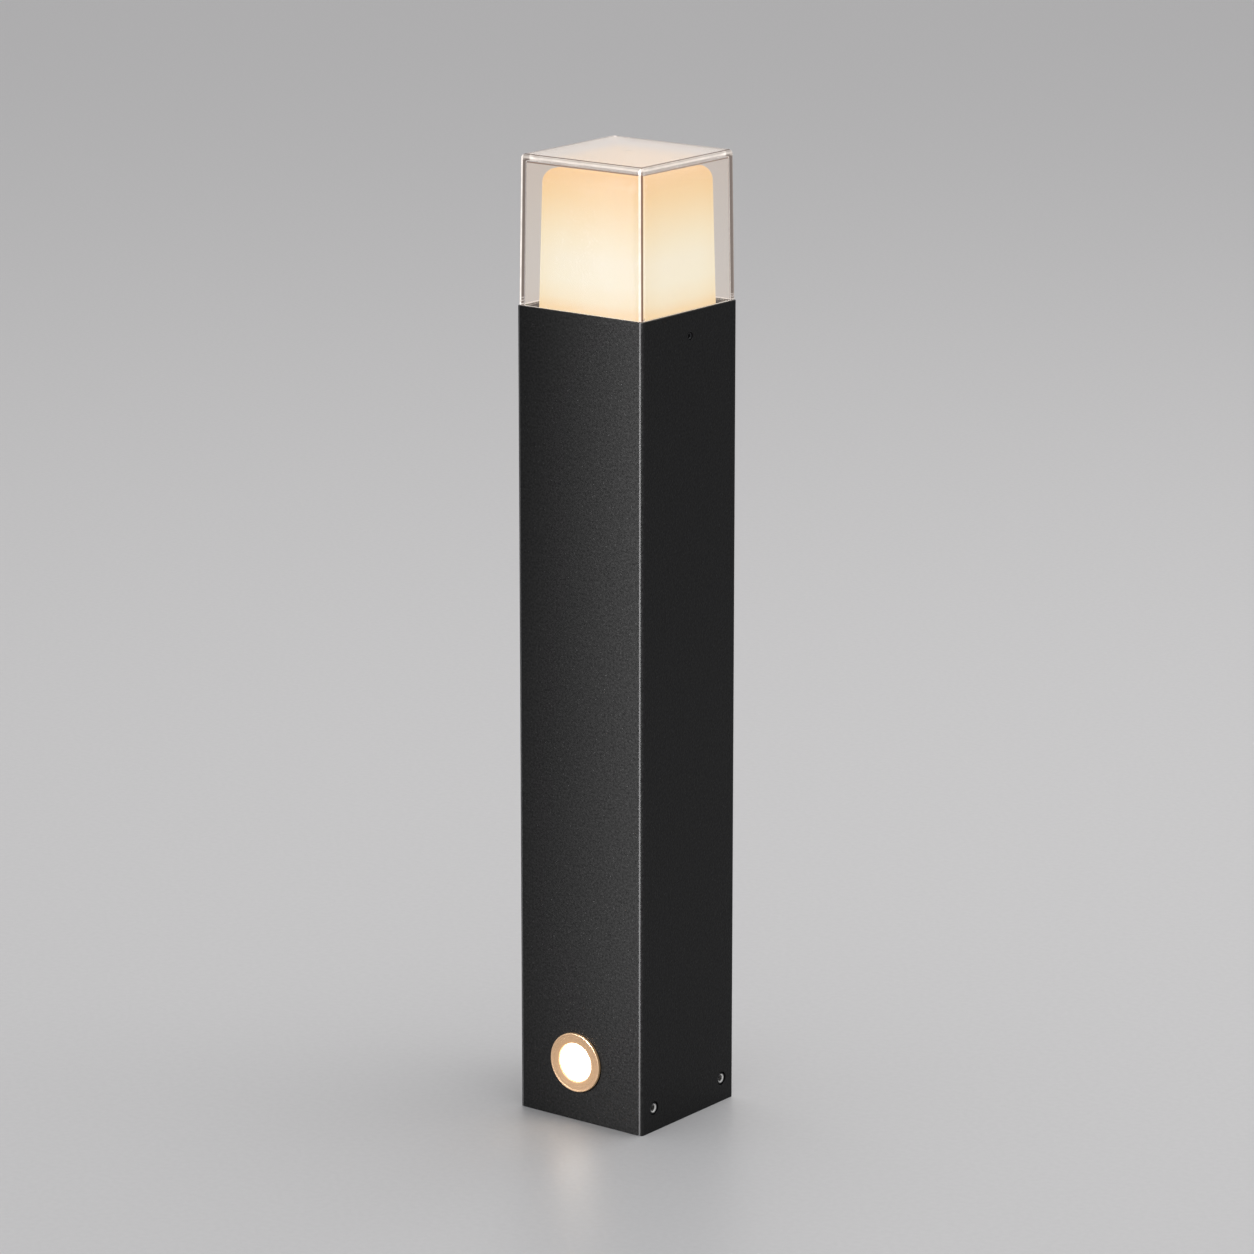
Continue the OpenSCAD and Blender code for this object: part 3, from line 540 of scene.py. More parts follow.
bezelShape = {
    "thickness": 0.002,
    "barrel": 0.0146,  # radius, as the next two
    "bore": 0.01375,
    "lens": 0.01235,
    "rimRadius": 0.0006,
    "dish": 0.0004,  # the face falls in towards the lens
    "fall": [(1.7, 0.35), (2.2, 0.55)],  # shares of the rim's radius and of the dish
    "lip": [(0.0009, 0), (0.0003, 0.0001), (0, 0.0005)],  # out from the lens and down from the dish
    "seat": 0.0004,  # step for the lens behind the plate
    "chamfer": 0.0002,
}

bezelLook = {
    "grooveSize": 0.00022,
    "grooveDepth": 0.000012,
    # satin metal, its peach tint partly painted warm light from the lens
    "metalWithPaintedWarmth": (0.80, 0.54, 0.34, 1),
    "spillAndRimHighlight": [  # painted light on the ring: the lens's glow spilling out from its lip, and a painted highlight at its rim
        (0.00, (0.34, 0.17, 0.06)), (0.16, (0.12, 0.055, 0.015)), (0.55, (0.07, 0.035, 0.012)),
        (0.88, (0.09, 0.045, 0.02)), (0.96, (0.22, 0.16, 0.10)), (1.00, (0.16, 0.10, 0.05)),
    ],
}


def fromAxis(tree, origin, plane):
    # distance of a point from an axis through origin; plane keeps the two directions across it
    found = onPiece(tree)
    for operation, operand in (("SUBTRACT", origin), ("MULTIPLY", plane), ("LENGTH", None)):
        step = tree.nodes.new("ShaderNodeVectorMath")
        step.operation = operation
        feed(step, 0, found)
        if operand is not None:
            step.inputs[1].default_value = operand
        found = step.outputs["Vector" if operand is not None else "Value"]
    return found


def grooves(tree, distance, size):
    # a noise that changes only with distance, as a lathe tool leaves it
    noise = tree.nodes.new("ShaderNodeTexNoise")
    noise.noise_dimensions = "1D"
    feed(noise, "Scale", 1 / size)
    feed(noise, "Detail", 2)
    feed(noise, "W", distance)
    return noise.outputs["Fac"]


def makeBezelMetal(name):
    look = bezelLook
    finish, tree, shader = newFinish(name, {
        "Base Color": look["metalWithPaintedWarmth"], "Metallic": 1.0, "Emission Strength": 1.0})
    radius = fromAxis(tree, middle("marker_bezel"), (1, 0, 1))
    across = spread(tree, radius, 0, 1, bezelShape["lens"], halfSize("marker_bezel").x)
    front = sums(tree, "LESS_THAN", *coordinates(tree, "Y"), -halfSize("post").y)
    # painted lens spill and rim highlight, on the ring's front face only
    spillAndRimHighlight = tint(tree, across, look["spillAndRimHighlight"])
    feed(shader, "Emission Color", blend(tree, front, (0.0, 0.0, 0.0), spillAndRimHighlight))
    lines = grooves(tree, radius, look["grooveSize"])
    feed(shader, "Roughness", spread(tree, lines, 0.26, 0.42))
    relief(tree, shader, lines, look["grooveDepth"])
    return finish


# lens light from its middle to its rim, as a share of the strength
markerGlow = {
    "stops": [
        (0.00, (1.0, 0.97, 0.92)), (0.78, (1.0, 0.95, 0.86)), (0.88, (0.62, 0.50, 0.36)),
        (0.95, (0.36, 0.24, 0.14)), (1.00, (0.26, 0.15, 0.075)),
    ],
    "strength": 3.0,
}


def makeMarkerLens(name):
    finish, tree, shader = newFinish(name, {
        "Base Color": (0.85, 0.80, 0.72, 1), "Roughness": 0.35, "Emission Strength": markerGlow["strength"]})
    radius = fromAxis(tree, middle("marker_lens"), (1, 0, 1))
    wander = spread(tree, grain(tree, 0.003, 2), -0.0003, 0.0003, 0, 1)
    reach = spread(tree, sums(tree, "ADD", radius, wander), 0, 1, 0, bezelShape["lens"])
    feed(shader, "Emission Color", tint(tree, reach, markerGlow["stops"]))
    relief(tree, shader, cells(tree, 0.0009, "Distance", "SMOOTH_F1"), 0.00004)
    return finish


def makeMetal(name, colour, roughness=(0.25, 0.42), scratch=0.00035, depth=0.000006, stretch=(1, 1, 0.1)):
    finish, tree, shader = newFinish(name, {"Metallic": 1.0})
    dull = tuple(c * 0.80 for c in colour)
    feed(shader, "Base Color", tint(tree, grain(tree, 0.006, 4), [(0.3, dull), (0.65, colour)]))
    marks = grain(tree, scratch, 3, stretch)
    feed(shader, "Roughness", spread(tree, marks, *roughness))
    relief(tree, shader, marks, depth)
    return finish


galvanised = {"crystalSize": 0.007, "dark": (0.42, 0.43, 0.44), "light": (0.66, 0.67, 0.68)}


def makeGalvanised(name):
    finish, tree, shader = newFinish(name, {"Metallic": 1.0})
    crystals = cells(tree, galvanised["crystalSize"], "Color")
    tone = tint(tree, crystals, [(0.1, galvanised["dark"]), (0.9, galvanised["light"])])
    feed(shader, "Base Color", tone)
    feed(shader, "Roughness", spread(tree, crystals, 0.34, 0.56, 0, 1))
    relief(tree, shader, grain(tree, 0.0011, 4), 0.00002)
    return finish


def makeMoulded(name, colour, roughness=(0.35, 0.5), texture=0.0006, depth=0.00002, sockets=None):
    # moulded plastic, ceramic or rubber with a faint cloudiness and a fine skin
    finish, tree, shader = newFinish(name, sockets or {})
    shade = tuple(c * 0.86 for c in colour)
    feed(shader, "Base Color", tint(tree, grain(tree, 0.011, 4), [(0.32, shade), (0.62, colour)]))
    feed(shader, "Roughness", spread(tree, grain(tree, 0.004, 3), *roughness))
    relief(tree, shader, grain(tree, texture, 2), depth)
    return finish


def makeEarthInsulation(name):
    # green with a yellow stripe along the side that faces +X
    finish, tree, shader = newFinish(name, {"Roughness": 0.42})
    tone = tint(tree, spread(tree, *coordinates(tree, "X"), 0, 1, -0.0002, 0.0002),
                [(0.0, (0.07, 0.26, 0.04)), (1.0, (0.72, 0.62, 0.05))])
    feed(shader, "Base Color", tone)
    relief(tree, shader, grain(tree, 0.0006, 2), 0.00001)
    return finish


def makeBulbFrost(name):
    finish, tree, shader = newFinish(name, {
        "Base Color": (0.85, 0.80, 0.72, 1), "Roughness": 0.40, "Emission Strength": 0.86})
    low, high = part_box("bulb_globe")
    rise = spread(tree, *coordinates(tree, "Z"), 0, 1, low.z, high.z)
    glow = tint(tree, rise, [(0, (1.0, 0.72, 0.42)), (0.35, (1.0, 0.86, 0.64)), (1, (1.0, 0.90, 0.72))])
    feed(shader, "Emission Color", glow)
    relief(tree, shader, grain(tree, 0.0007, 2), 0.00001)
    return finish


def makePhosphor(name):
    finish, tree, shader = newFinish(name, {"Emission Strength": 2.0, "Roughness": 0.5})
    tone = tint(tree, grain(tree, 0.0005, 3), [(0.3, (0.90, 0.62, 0.14)), (0.7, (0.98, 0.78, 0.30))])
    feed(shader, "Base Color", tone)
    feed(shader, "Emission Color", tone)
    return finish


def makeSealant(name):
    finish, tree, shader = newFinish(name, {
        "Roughness": 0.38, "Subsurface Weight": 0.3, "Subsurface Scale": 0.002})
    tone = tint(tree, grain(tree, 0.005, 3), [(0.3, (0.52, 0.46, 0.38)), (0.7, (0.66, 0.60, 0.50))])
    feed(shader, "Base Color", tone)
    relief(tree, shader, grain(tree, 0.002, 2), 0.00006)
    return finish


finishes = {
    "post_coat": makePowderCoat("powderCoat"),
    "foot_steel": makeGalvanised("galvanisedSheet"),
    "rubber": makeMoulded("blackRubber", (0.022, 0.022, 0.022), (0.55, 0.75), 0.0005, 0.00003),
    "zinc": makeMetal("zincPlate", (0.66, 0.67, 0.68), (0.28, 0.45)),
    "stainless": makeMetal("stainlessSteel", (0.62, 0.61, 0.60), (0.20, 0.36)),
    "bezel_metal": makeBezelMetal("satinBezel"),
    "marker_lens": makeMarkerLens("litLens"),
    "reflector_white": makeMoulded("whiteReflector", (0.86, 0.86, 0.84), (0.12, 0.22), 0.002, 0.000005),
    "led_phosphor": makePhosphor("ledPhosphor"),
    "board_white": makeMoulded("whiteSolderMask", (0.80, 0.80, 0.78), (0.30, 0.42), 0.0009, 0.00001),
    "heat_sink": makeMetal("turnedAluminium", (0.70, 0.71, 0.73), (0.24, 0.40), 0.0003, 0.000008, (1, 8, 1)),
    "brass": makeMetal("plainBrass", (0.80, 0.60, 0.27), (0.22, 0.40)),
    "lead_black": makeMoulded("blackSleeve", (0.020, 0.020, 0.020), (0.40, 0.55), 0.0008, 0.00002),
    "wire_brown": makeMoulded("brownInsulation", (0.17, 0.075, 0.032), (0.34, 0.48), 0.0008, 0.00001),
    "wire_green": makeEarthInsulation("earthInsulation"),
    "wire_red": makeMoulded("redSilicone", (0.40, 0.040, 0.025), (0.40, 0.55), 0.0008, 0.00001),
    "nylon": makeMoulded("naturalNylon", (0.78, 0.75, 0.66), (0.34, 0.48), 0.0012, 0.00001,
                         {"Subsurface Weight": 0.15, "Subsurface Scale": 0.002}),
    "driver_case": makeMoulded("driverPlastic", (0.80, 0.80, 0.79), (0.42, 0.58), 0.0005, 0.00002),
    "holder_ceramic": makeMoulded("glazedCeramic", (0.82, 0.80, 0.74), (0.10, 0.20), 0.004, 0.00002,
                                  {"Coat Weight": 0.5, "Coat Roughness": 0.08}),
    "nickel": makeMetal("nickelPlate", (0.72, 0.69, 0.63), (0.14, 0.28)),
    "bulb_white": makeMoulded("bulbHousingWhite", (0.84, 0.83, 0.80), (0.32, 0.46), 0.0008, 0.00001),
    "bulb_frost": makeBulbFrost("litGlobe"),
    "black_glass": makeMoulded("blackGlass", (0.012, 0.012, 0.015), (0.06, 0.14), 0.002, 0.00001),
    "collar_black": makeMoulded("satinBlackMoulding", (0.016, 0.015, 0.014), (0.30, 0.44), 0.0007, 0.00003),
    "clear_acrylic": makeClearAcrylic("clearAcrylic"),
    "opal_acrylic": makeOpalAcrylic("litOpal"),
    "sealant": makeSealant("clearSealant"),
}
print("bollard: finishes made,", len(finishes))


# Post: a square tube with rounded uprights, a round opening for the marker light and the screw holes

postTube = {
    "wall": 0.003,
    "edgeRadius": 0.0025,
    "innerRadius": 0.0004,
    "rimRadius": 0.00045,  # the powder rounds every cut edge
    "markerHole": (0.0147, 64),  # radius and faces round it
    "baseHole": (0.0043, 48),
    "headHole": (0.0025, 40),
    "cutterReach": 0.01,  # how far a cutter stands out on each side of the wall
}

baseRow = halfSize("base_set_screws").y - halfSize("base_set_screws").z  # from the middle to each base screw


def rod(radius, steps, start, end):
    # plain cutter from one point to another
    start, end = Vector(start), Vector(end)
    length = (end - start).length
    profile = [(0, 0), (radius, 0), (radius, length), (0, length)]
    return turned("cutter", profile, steps, start, (end - start).normalized())


def buildPost(look):
    half, top = halfSize("post").x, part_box("post")[1].z
    inner = half - look["wall"]
    outerEnd, innerEnd = half + look["cutterReach"], inner - look["cutterReach"]
    outerEdge, innerEdge = look["edgeRadius"], look["innerRadius"]
    rings = [squareRing(half, outerEdge, 0), squareRing(half, outerEdge, top),
             squareRing(inner, innerEdge, top), squareRing(inner, innerEdge, 0)]
    post = skinned("postTube", rings, closed=True)
    marker = middle("marker_bezel")
    cutFrom(post, rod(*look["markerHole"], (marker.x, -outerEnd, marker.z), (marker.x, -innerEnd, marker.z)))
    base, head = middle("base_set_screws").z, middle("head_set_screws").z
    for side in (-1, 1):
        for hole, y, z in (("baseHole", -baseRow, base), ("baseHole", baseRow, base), ("headHole", 0, head)):
            cutFrom(post, rod(*look[hole], (side * outerEnd, y, z), (side * innerEnd, y, z)))
    soften(post, look["rimRadius"], 3)
    fit(smooth(post, 40), "post", "post_coat", "post")


# Head: clear outer cover and opal diffuser, both with leaning walls

coverShape = {
    "lean": 0.001,  # how far each wall leans in from bottom to top
    "wall": 0.003,
    "top": 0.004,
    "edge": 0.003,
    "innerEdge": 0.0015,
    "footGap": 0.0008,  # between the post and the foot of the wall
    "footChamfer": 0.0004,
    "spigotWall": 0.0022,
    "spigotInset": 0.0029,  # from the cover's outer face to the spigot's
    "spigotCorner": 0.00125,
    "spigotInnerCorner": 0.0008,
    "spigotChamfer": 0.0003,
    "lipDrop": 0.0005,
    "gateDish": 0.0040,  # shallow moulding mark in the top
    "gateDepth": 0.00012,
    "gatePip": 0.4,  # share of that depth in the middle
    "gateProfile": [(0.16, 0.5), (0.24, 1.0), (0.70, 0.9), (0.92, 0.25), (1.0, 0.0)],
    "edgeSteps": 6,
}

sharpest = 0.0003  # least radius of an upright corner


def dome(half, corner, radius, top, steps):
    # rings round the upper edge of a leaning block, from the flat top down to the wall
    rings = []
    for i in range(steps + 1):
        angle = math.radians(90 - 90 * i / steps)
        outwards, upwards = radius * math.cos(angle), radius * math.sin(angle)
        rings.append(squareRing(half - radius + outwards, max(corner - radius + outwards, sharpest),
                                top - radius + upwards))
    return rings


def buildCover(look):
    low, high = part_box("clear_cover")
    half, top = halfSize("clear_cover").x, high.z
    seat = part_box("post")[1].z + (half - halfSize("post").x + look["footGap"])
    inner, ceiling = half - look["wall"], top - look["top"]
    spigot = half - look["spigotInset"]
    spigotInner = spigot - look["spigotWall"]
    lip = seat - look["lipDrop"]
    foot, corner, innerCorner = look["footChamfer"], look["spigotCorner"], look["spigotInnerCorner"]
    dish, depth, chamfer = look["gateDish"], look["gateDepth"], look["spigotChamfer"]
    rings = [[Vector((0, 0, top - depth * look["gatePip"]))]]
    rings += [roundRing(dish * out, top - depth * down) for out, down in look["gateProfile"]]
    rings += dome(half - look["lean"], look["edge"], look["edge"], top, look["edgeSteps"])
    rings += [squareRing(*ring) for ring in (
        (half, look["edge"], seat + foot), (half - foot, look["edge"] - foot, seat),
        (spigot, corner, seat), (spigot, corner, low.z + foot), (spigot - foot, corner - foot, low.z),
        (spigotInner + chamfer, innerCorner, low.z), (spigotInner, innerCorner, low.z + chamfer),
        (spigotInner, innerCorner, lip), (inner, look["innerEdge"], lip))]
    innerEdge, steps = look["innerEdge"], look["edgeSteps"]
    rings += dome(inner - look["lean"], innerEdge, innerEdge, ceiling, steps)[::-1]
    rings += [roundRing(dish, ceiling), [Vector((0, 0, ceiling))]]
    fit(smooth(skinned("clearCoverShell", rings), 50), "head", "clear_acrylic", "clear_cover")


opalShape = {
    "lean": 0.0007,
    "wall": 0.0022,
    "corner": 0.006,
    "topCorner": 0.009,
    "edge": 0.009,
    "footChamfer": 0.0003,
    "edgeSteps": 10,
}


def buildOpal(look):
    low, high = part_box("opal_diffuser")
    half, top = halfSize("opal_diffuser").x, high.z
    upper, wall = half - look["lean"], look["wall"]
    corner, foot = look["corner"], look["footChamfer"]
    outside = dome(upper, look["topCorner"], look["edge"], top, look["edgeSteps"])
    inside = dome(upper - wall, look["topCorner"] - wall, look["edge"] - wall, top - wall, look["edgeSteps"])
    rings = [[Vector((0, 0, top))]] + outside
    rings += [squareRing(*ring) for ring in (
        (half, corner, low.z + foot), (half - foot, corner, low.z),
        (half - wall + foot, corner - wall, low.z), (half - wall, corner - wall, low.z + foot))]
    rings += inside[::-1] + [[Vector((0, 0, top - wall))]]
    fit(smooth(skinned("opalShell", rings), 50), "head", "opal_acrylic", "opal_diffuser")


# Marker light: turned bezel ring with its barrel, and the frosted lens inside its lip

def buildBezel(look):
    low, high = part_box("marker_bezel")
    centre = middle("marker_bezel")
    radius, length = halfSize("marker_bezel").x, high.y - low.y
    rim, dish, edge = look["rimRadius"], look["dish"], look["chamfer"]
    lens, bore, barrel = look["lens"], look["bore"], look["barrel"]
    plate, seat = look["thickness"], look["thickness"] + look["seat"]
    profile = [(barrel, plate), (radius - edge, plate), (radius, plate - edge)]
    profile += arc((radius - rim, rim), rim, 0, -90, 8)
    profile += [(radius - rim * out, dish * down) for out, down in look["fall"]]
    profile += [(lens + out, dish + down) for out, down in look["lip"]]
    profile += [(lens, seat), (bore, seat), (bore, length - edge), (bore + edge, length),
                (barrel - edge, length), (barrel, length - edge)]
    bezel = turned("bezelRing", profile, 128, (centre.x, low.y, centre.z), (0, 1, 0), closed=True)
    fit(smooth(bezel, 40), "post", "bezel_metal", "marker_bezel")


lensShape = {"crown": 0.0007, "radius": 0.01225, "flange": 0.01365, "flangeThickness": 0.0016, "steps": 8}


def buildLens(look):
    low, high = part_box("marker_lens")
    centre = middle("marker_lens")
    depth = high.y - low.y
    step = depth - look["flangeThickness"]
    shares = [i / look["steps"] for i in range(look["steps"] + 1)]
    profile = [(look["radius"] * share, look["crown"] * share ** 2) for share in shares]
    profile += [(look["radius"], step), (look["flange"], step), (look["flange"], depth), (0, depth)]
    lens = turned("frontLens", profile, 96, (centre.x, low.y, centre.z), (0, 1, 0))
    fit(smooth(lens, 40), "post", "marker_lens", "marker_lens")


# Set screws: oiled dark steel with real thread turns and a broached hex socket, bright in the base screws

screwShape = {
    "threadDepth": 0.00035,
    "pitch": 0.00125,
    "socketShare": 0.55,  # width of the socket across its corners against the screw
    "chamfer": 0.0005,
    "chamferLimit": 0.2,  # share of the screw's radius
    "socketEdge": 0.0006,
    "baseSocket": 0.0035,  # depth, as the next
    "headSocket": 0.0014,
    "drillPoint": 0.0008,
    "drillLimit": 0.12,  # share of the screw's length
    "steps": 48,
    "ringsPerTurn": 8,
}


def hexRing(width, along, steps):
    # points of a hexagon of that width across its corners, as many as a circle has
    flat = width / 2 * math.cos(math.pi / 6)
    ring = []
    for i in range(steps):
        angle = 2 * math.pi * i / steps
        reach = flat / math.cos(angle % (math.pi / 3) - math.pi / 6)
        ring.append((reach * math.cos(angle), reach * math.sin(angle), along))
    return ring


def threadRing(radius, depth, pitch, along, steps):
    # one ring of a thread: the groove's depth runs round with the angle
    ring = []
    for i in range(steps):
        angle = 2 * math.pi * i / steps
        reach = radius - depth * (0.5 - 0.5 * math.cos(2 * math.pi * along / pitch - angle))
        ring.append((reach * math.cos(angle), reach * math.sin(angle), along))
    return ring


def addSetScrew(bm, look, radius, start, end, socketDepth):
    # from its flat tip at start to the socket face at end
    start, end = Vector(start), Vector(end)
    length = (end - start).length
    turn = up.rotation_difference((end - start).normalized()).to_matrix()
    steps, pitch, depth = look["steps"], look["pitch"], look["threadDepth"]
    chamfer = min(look["chamfer"], radius * look["chamferLimit"])
    socket = 2 * radius * look["socketShare"]
    threadStart, threadEnd = depth * 2, length - chamfer
    count = max(2, round((threadEnd - threadStart) / pitch * look["ringsPerTurn"]))
    point = min(look["drillPoint"], length * look["drillLimit"])
    rings = [[(0, 0, 0)], threadRing(radius - depth * 2, 0, pitch, 0, steps)]
    rings += [threadRing(radius, depth, pitch, threadStart + (threadEnd - threadStart) * i / count, steps)
              for i in range(count + 1)]
    rings += [threadRing(radius - chamfer, 0, pitch, length, steps),
              threadRing(socket / 2 + look["socketEdge"], 0, pitch, length, steps),
              hexRing(socket, length - look["socketEdge"], steps),
              hexRing(socket, length - socketDepth, steps),
              [(0, 0, length - socketDepth - point)]]
    before = len(bm.faces)
    skin(bm, [[start + turn @ Vector(place) for place in ring] for ring in rings])
    bm.faces.ensure_lookup_table()
    firstBright = before + (len(rings) - 4) * steps  # the socket's edge and its walls
    for face in bm.faces[firstBright:firstBright + 2 * steps]:
        face.material_index = 1


def buildSetScrews(look, name, node, backNode, socket, ys, socketFinish):
    bm = bmesh.new()
    low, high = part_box(node)
    radius, z = (high.z - low.z) / 2, (low.z + high.z) / 2
    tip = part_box(backNode)[1].x
    for side in (-1, 1):
        for y in ys:
            addSetScrew(bm, look, radius, (side * tip, y, z), (side * high.x, y, z), look[socket])
    screws = pieceFrom(name, bm)
    screws.data.materials.append(oiledSteel)
    screws.data.materials.append(socketFinish)
    fit(smooth(screws, 30), "post", "stainless", node)


# Bulb: frosted globe, bell housing, and a cap and a holder shell that share one helical thread

bulbShape = {
    "skin": 0.0012,
    "pole": 88,  # degrees; the globe's arcs end here, just short of its tip
    "bellSteps": 28,
    "bellBulge": 0.25,
    "lip": 0.0003,
    "capSkin": 0.001,
    "capRim": 0.002,
    "capRoll": 0.0016,  # radius where the cap turns in at its foot
    "rollLift": 0.0002,
    "shoulder": 0.0035,
    "neckStep": 0.0005,
    "threadDepth": 0.0004,
    "pitch": 0.0036,
    "fade": 0.0015,  # height over which the thread runs out
    "ringStep": 0.00045,
    "insulatorTip": 0.005,  # radius
    # radius as a share, height in metres
    "solderDrop": [(0, 0), (0.35, 0.00006), (0.62, 0.00030), (0.84, 0.00080)],
}


def threadWave(look, start, end):
    # depth of the groove at an angle and a height, running out at both ends
    def wave(angle, z):
        share = min((z - start) / look["fade"], (end - z) / look["fade"], 1)
        turns = 2 * math.pi * z / look["pitch"] - angle
        return -look["threadDepth"] * max(share, 0) * (0.5 - 0.5 * math.cos(turns))
    return wave


def evenly(start, end, step):
    count = max(1, round((end - start) / step))
    return [start + (end - start) * i / count for i in range(count + 1)]


def buildGlobe(look):
    low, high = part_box("bulb_globe")
    radius = halfSize("bulb_globe").x
    innerRadius = radius - look["skin"]
    centre = (0, high.z - radius)
    cut, innerCut = (math.degrees(math.asin((low.z - centre[1]) / r)) for r in (radius, innerRadius))
    inside = [(0, centre[1] + innerRadius)] + arc(centre, innerRadius, look["pole"], innerCut, 24)
    outside = arc(centre, radius, cut, look["pole"], 40) + [(0, high.z)]
    fit(smooth(turned("bulbGlobe", inside + outside, 96), 60), "bulb", "bulb_frost", "bulb_globe")


def buildHousing(look):
    low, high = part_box("bulb_housing")
    neck = halfSize("bulb_cap").x + look["neckStep"]
    flare = halfSize("bulb_housing").x - neck
    bulge, lip = look["bellBulge"], look["lip"]
    outside = []
    for s in evenly(0, 1, 1 / look["bellSteps"]):
        outside.append((neck + flare * (1 - math.cos(math.pi / 2 * s)) * (1 + bulge - bulge * s),
                        low.z + (high.z - low.z) * s))
    outside[0] = (outside[0][0], low.z + lip)
    inside = [(radius - look["skin"], z) for radius, z in outside[::-1]]
    foot = [(neck - look["skin"], low.z), (neck - lip, low.z)]
    housing = turned("bulbHousing", outside + inside[:-1] + foot, 96, closed=True)
    fit(smooth(housing, 40), "bulb", "bulb_white", "bulb_housing")


def buildCap(look):
    low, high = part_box("bulb_cap")
    radius, skinDepth = halfSize("bulb_cap").x, look["capSkin"]
    roll, lip, shoulder = look["capRoll"], look["lip"], radius - look["shoulder"]
    start, end = low.z + 1.5 * skinDepth, high.z - look["capRim"] - skinDepth
    heights = evenly(start, end, look["ringStep"])
    outside = [(shoulder, low.z)] + arc((radius - roll, start + look["rollLift"]), roll, -70, -10, 4)
    outside += [(radius, z) for z in heights[1:]] + [(radius, high.z - lip), (radius - lip, high.z)]
    inside = [(radius - skinDepth, high.z)] + [(radius - skinDepth, z) for z in heights[:1:-1]]
    inside += [(shoulder - skinDepth / 2, low.z + skinDepth)]
    cap = turned("bulbCap", outside + inside, 72, closed=True, wave=threadWave(look, start, end))
    fit(smooth(cap, 50), "bulb", "nickel", "bulb_cap")


def buildCapEnd(look):
    # black glass between the cap and the tip, and the solder tip itself
    low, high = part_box("bulb_insulator")
    wide, narrow = halfSize("bulb_insulator").x, look["insulatorTip"]
    glass = [(0, low.z), (narrow - 0.0005, low.z), (narrow, low.z + 0.0004), (wide - 0.0004, high.z - 0.0007),
             (wide, high.z - 0.0003), (wide - 0.0002, high.z), (0, high.z)]
    fit(smooth(turned("capGlass", glass, 72), 40), "bulb", "black_glass", "bulb_insulator")
    low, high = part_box("bulb_contact")
    radius = halfSize("bulb_contact").x
    drop = [(radius * share, low.z + rise) for share, rise in look["solderDrop"]]
    drop += [(radius, high.z - 0.0001), (radius - 0.0001, high.z), (0, high.z)]
    fit(smooth(turned("capTip", drop, 48), 50), "bulb", "nickel", "bulb_contact")


# Lamp holder: ceramic body with a stepped rim, and the threaded shell inside it

holderShape = {
    "step": 0.0015,
    "floor": 0.010,
    "bore": 0.0141,  # radius
    "edge": 0.0007,
    "screwHole": 0.00155,  # radius
    "screwDepth": 0.008,
    "cutterReach": 0.002,
    "shellWall": 0.0005,
    "shellFloor": 0.002,
    "shellLip": 0.0015,
    "shellEdge": 0.0001,
    "runningGap": 0.00002,
}


def buildHolder(look):
    low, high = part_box("holder_body")
    radius, edge, step, bore = halfSize("holder_body").x, look["edge"], look["step"], look["bore"]
    floorZ = low.z + look["floor"]
    profile = [(0, low.z), (radius - edge, low.z)] + arc((radius - edge, low.z + edge), edge, -60, 0, 4)
    profile += arc((radius - edge, high.z - step - edge), edge, 0, 90, 5)
    profile += [(radius - step, high.z - step)] + arc((radius - step - edge, high.z - edge), edge, 0, 90, 5)
    profile += arc((bore + edge, high.z - edge), edge, 90, 180, 5) + [(bore, floorZ), (0, floorZ)]
    body = turned("holderBody", profile, 96)
    across = halfSize("holder_screws").x - halfSize("holder_screws").y  # from the middle to each screw
    for x in (-across, across):
        cutFrom(body, rod(look["screwHole"], 24, (x, 0, low.z - look["cutterReach"]),
                          (x, 0, low.z + look["screwDepth"])))
    fit(smooth(body, 40), "post", "holder_ceramic", "holder_body")


def buildHolderShell(look, thread):
    low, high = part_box("holder_shell")
    outside = halfSize("holder_shell").x
    inside, edge = outside - look["shellWall"], look["shellEdge"]
    start, end = low.z + look["shellFloor"], high.z - 0.0003
    waves = dict(thread, threadDepth=thread["threadDepth"] - look["runningGap"])
    profile = [(outside, low.z), (outside, high.z - edge), (outside - edge, high.z), (inside + edge, high.z)]
    profile += [(inside, z) for z in evenly(start, end, thread["ringStep"])[::-1]]
    profile += [(inside - look["shellLip"], start - 0.0002), (inside - look["shellLip"], low.z)]
    groove = threadWave(waves, start, end)
    shell = turned("holderShell", profile, 72, closed=True,
                   wave=lambda angle, z: groove(angle, z) if start <= z <= end else 0)
    fit(smooth(shell, 50), "post", "nickel", "holder_shell")


# Rubber grommet in the foot plate, with rounded lips and a tapered sleeve

grommetShape = {
    "plate": 0.003,
    "upperLip": 0.002,
    "lipRound": 0.0008,
    "lowerLip": 0.0008,
    "lipReach": 0.003,
    "gap": 0.0003,
    "sleeve": 0.0089,  # radius, as the next
    "bore": 0.0045,
    "tipWall": 0.0015,
}


def buildGrommet(look):
    low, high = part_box("cable_grommet")
    wide, bore, turnIn = halfSize("cable_grommet").x, look["bore"], look["lipRound"]
    plate, lip = look["plate"], look["plate"] + look["upperLip"]
    neck, tip = wide - look["lipReach"], bore + look["tipWall"]
    profile = [(bore + 0.0004, low.z), (wide - look["gap"], low.z), (wide - look["gap"], look["lowerLip"]),
               (look["sleeve"], look["lowerLip"]), (look["sleeve"], plate), (wide - 0.0003, plate)]
    profile += arc((wide - turnIn, lip - turnIn), turnIn, 0, 90, 5)
    profile += [(neck + 0.0003, lip), (neck - 0.0002, lip + 0.0003),
                (tip, high.z - 0.0004), (tip - 0.0004, high.z),
                (bore + 0.0003, high.z), (bore, high.z - 0.0003), (bore, low.z + 0.0004)]
    grommet = turned("footGrommet", profile, 72, closed=True)
    fit(smooth(grommet, 40), "foot", "rubber", "cable_grommet")


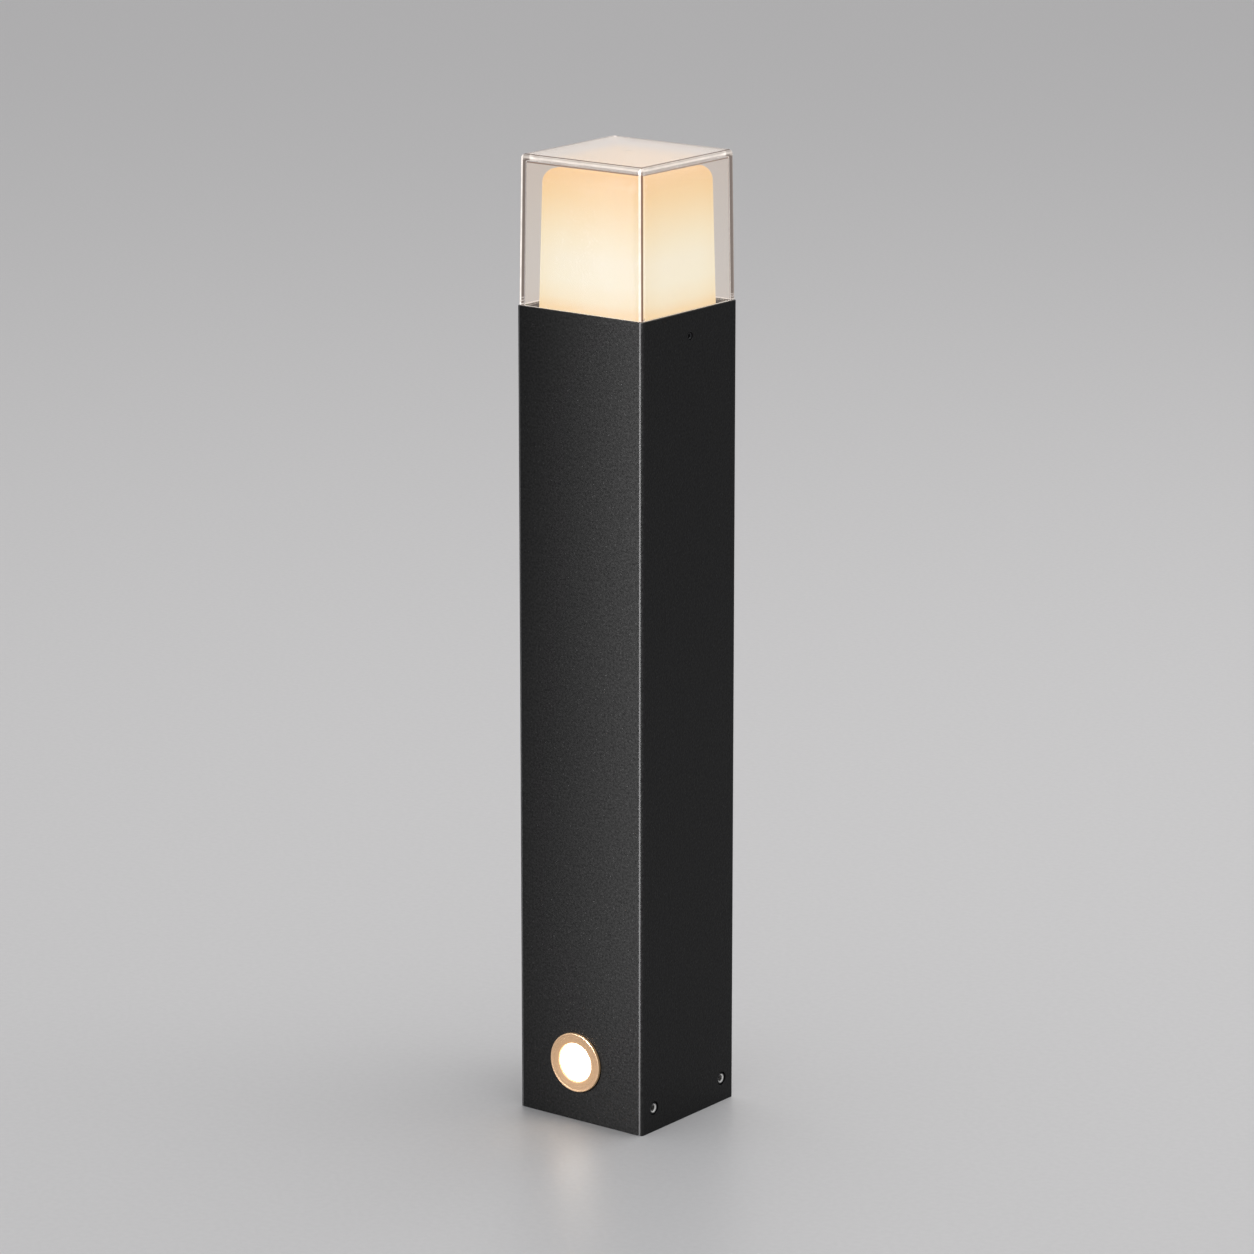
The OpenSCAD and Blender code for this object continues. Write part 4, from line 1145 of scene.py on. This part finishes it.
addCamera(viewSetup)
buildPost(postTube)
buildCover(coverShape)
buildOpal(opalShape)
buildBezel(bezelShape)
buildLens(lensShape)
oiledSteel = makeMetal("oiledScrewSteel", (0.055, 0.055, 0.058), (0.30, 0.46))
wornSocket = makeMetal("wornSocket", (0.90, 0.89, 0.87), (0.30, 0.44))
buildSetScrews(screwShape, "baseScrews", "base_set_screws", "foot_plate", "baseSocket",
               (-baseRow, baseRow), wornSocket)
buildSetScrews(screwShape, "headScrews", "head_set_screws", "head_collar", "headSocket", (0,), oiledSteel)
print("bollard: post, head and marker light built")
buildGlobe(bulbShape)
buildHousing(bulbShape)
buildCap(bulbShape)
buildCapEnd(bulbShape)
buildHolder(holderShape)
buildHolderShell(holderShape, bulbShape)
buildGrommet(grommetShape)
print("bollard: bulb, holder and grommet built")


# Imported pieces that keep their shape: welded, with broken edges and a finish

edgeBreaks = {
    "foot_plate": 0.0004, "gear_tray": 0.0003, "base_nuts": 0.0004, "tray_nuts": 0.0003,
    "terminal_block": 0.0005, "led_driver": 0.0006, "head_collar": 0.0003,
    "wire_clips": 0.0004, "marker_heat_sink": 0.0002, "marker_ring_nut": 0.0003, "earth_lug": 0.0002,
    "earth_screw": 0.0003, "holder_screws": 0.0003, "terminal_inserts": 0.0001, "terminal_screws": 0.0002,
    "tray_studs": 0.0003,
}


roundWires = ("lamp_wires", "driver_wires", "earth_wire", "marker_lead")


def finishPacked(name, piece):
    if piece.hide_render:
        return
    slotName = piece.data.materials[0].name
    piece.data.materials[0] = finishes[slotName.split(".")[0]]
    weld = piece.modifiers.new("weld", "WELD")
    weld.merge_threshold = 0.000002
    if name in edgeBreaks:
        joined = piece.modifiers.new("wholeFaces", "DECIMATE")
        joined.decimate_type, joined.angle_limit = "DISSOLVE", math.radians(0.5)
        soften(piece, edgeBreaks[name], 2)
    if name in roundWires:
        rounder = piece.modifiers.new("roundWire", "SUBSURF")
        rounder.levels = rounder.render_levels = 1
    piece.modifiers.new("evenShading", "WEIGHTED_NORMAL").keep_sharp = True


for name, piece in sorted(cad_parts.items()):
    finishPacked(name, piece)
print("bollard: packed pieces finished")


# Floor, room and lights

def buildFloor(look):
    finish, tree, shader = newFinish("paleFloor", {
        "Roughness": look["roughness"], "Specular IOR Level": look["specular"]})
    soft = tuple(c * 0.97 for c in look["pale"][:3])
    tone = tint(tree, grain(tree, look["speckSize"], 3), [(0.35, soft), (0.65, look["pale"][:3])])
    feed(shader, "Base Color", tone)
    floor = turned("paleFloor", [(0, 0), (look["radius"], 0)], 64)
    floor.data.materials.append(finish)
    return floor


paleFloor = buildFloor(floorSetup)
addSky(skySetup)
lamps = {name: addSoftbox(name, *numbers) for name, numbers in softboxes.items()}
keepOff(lamps["keySoftbox"], paleFloor)
bpy.context.scene.view_settings.view_transform = "Standard"
print("bollard: floor and lights placed")
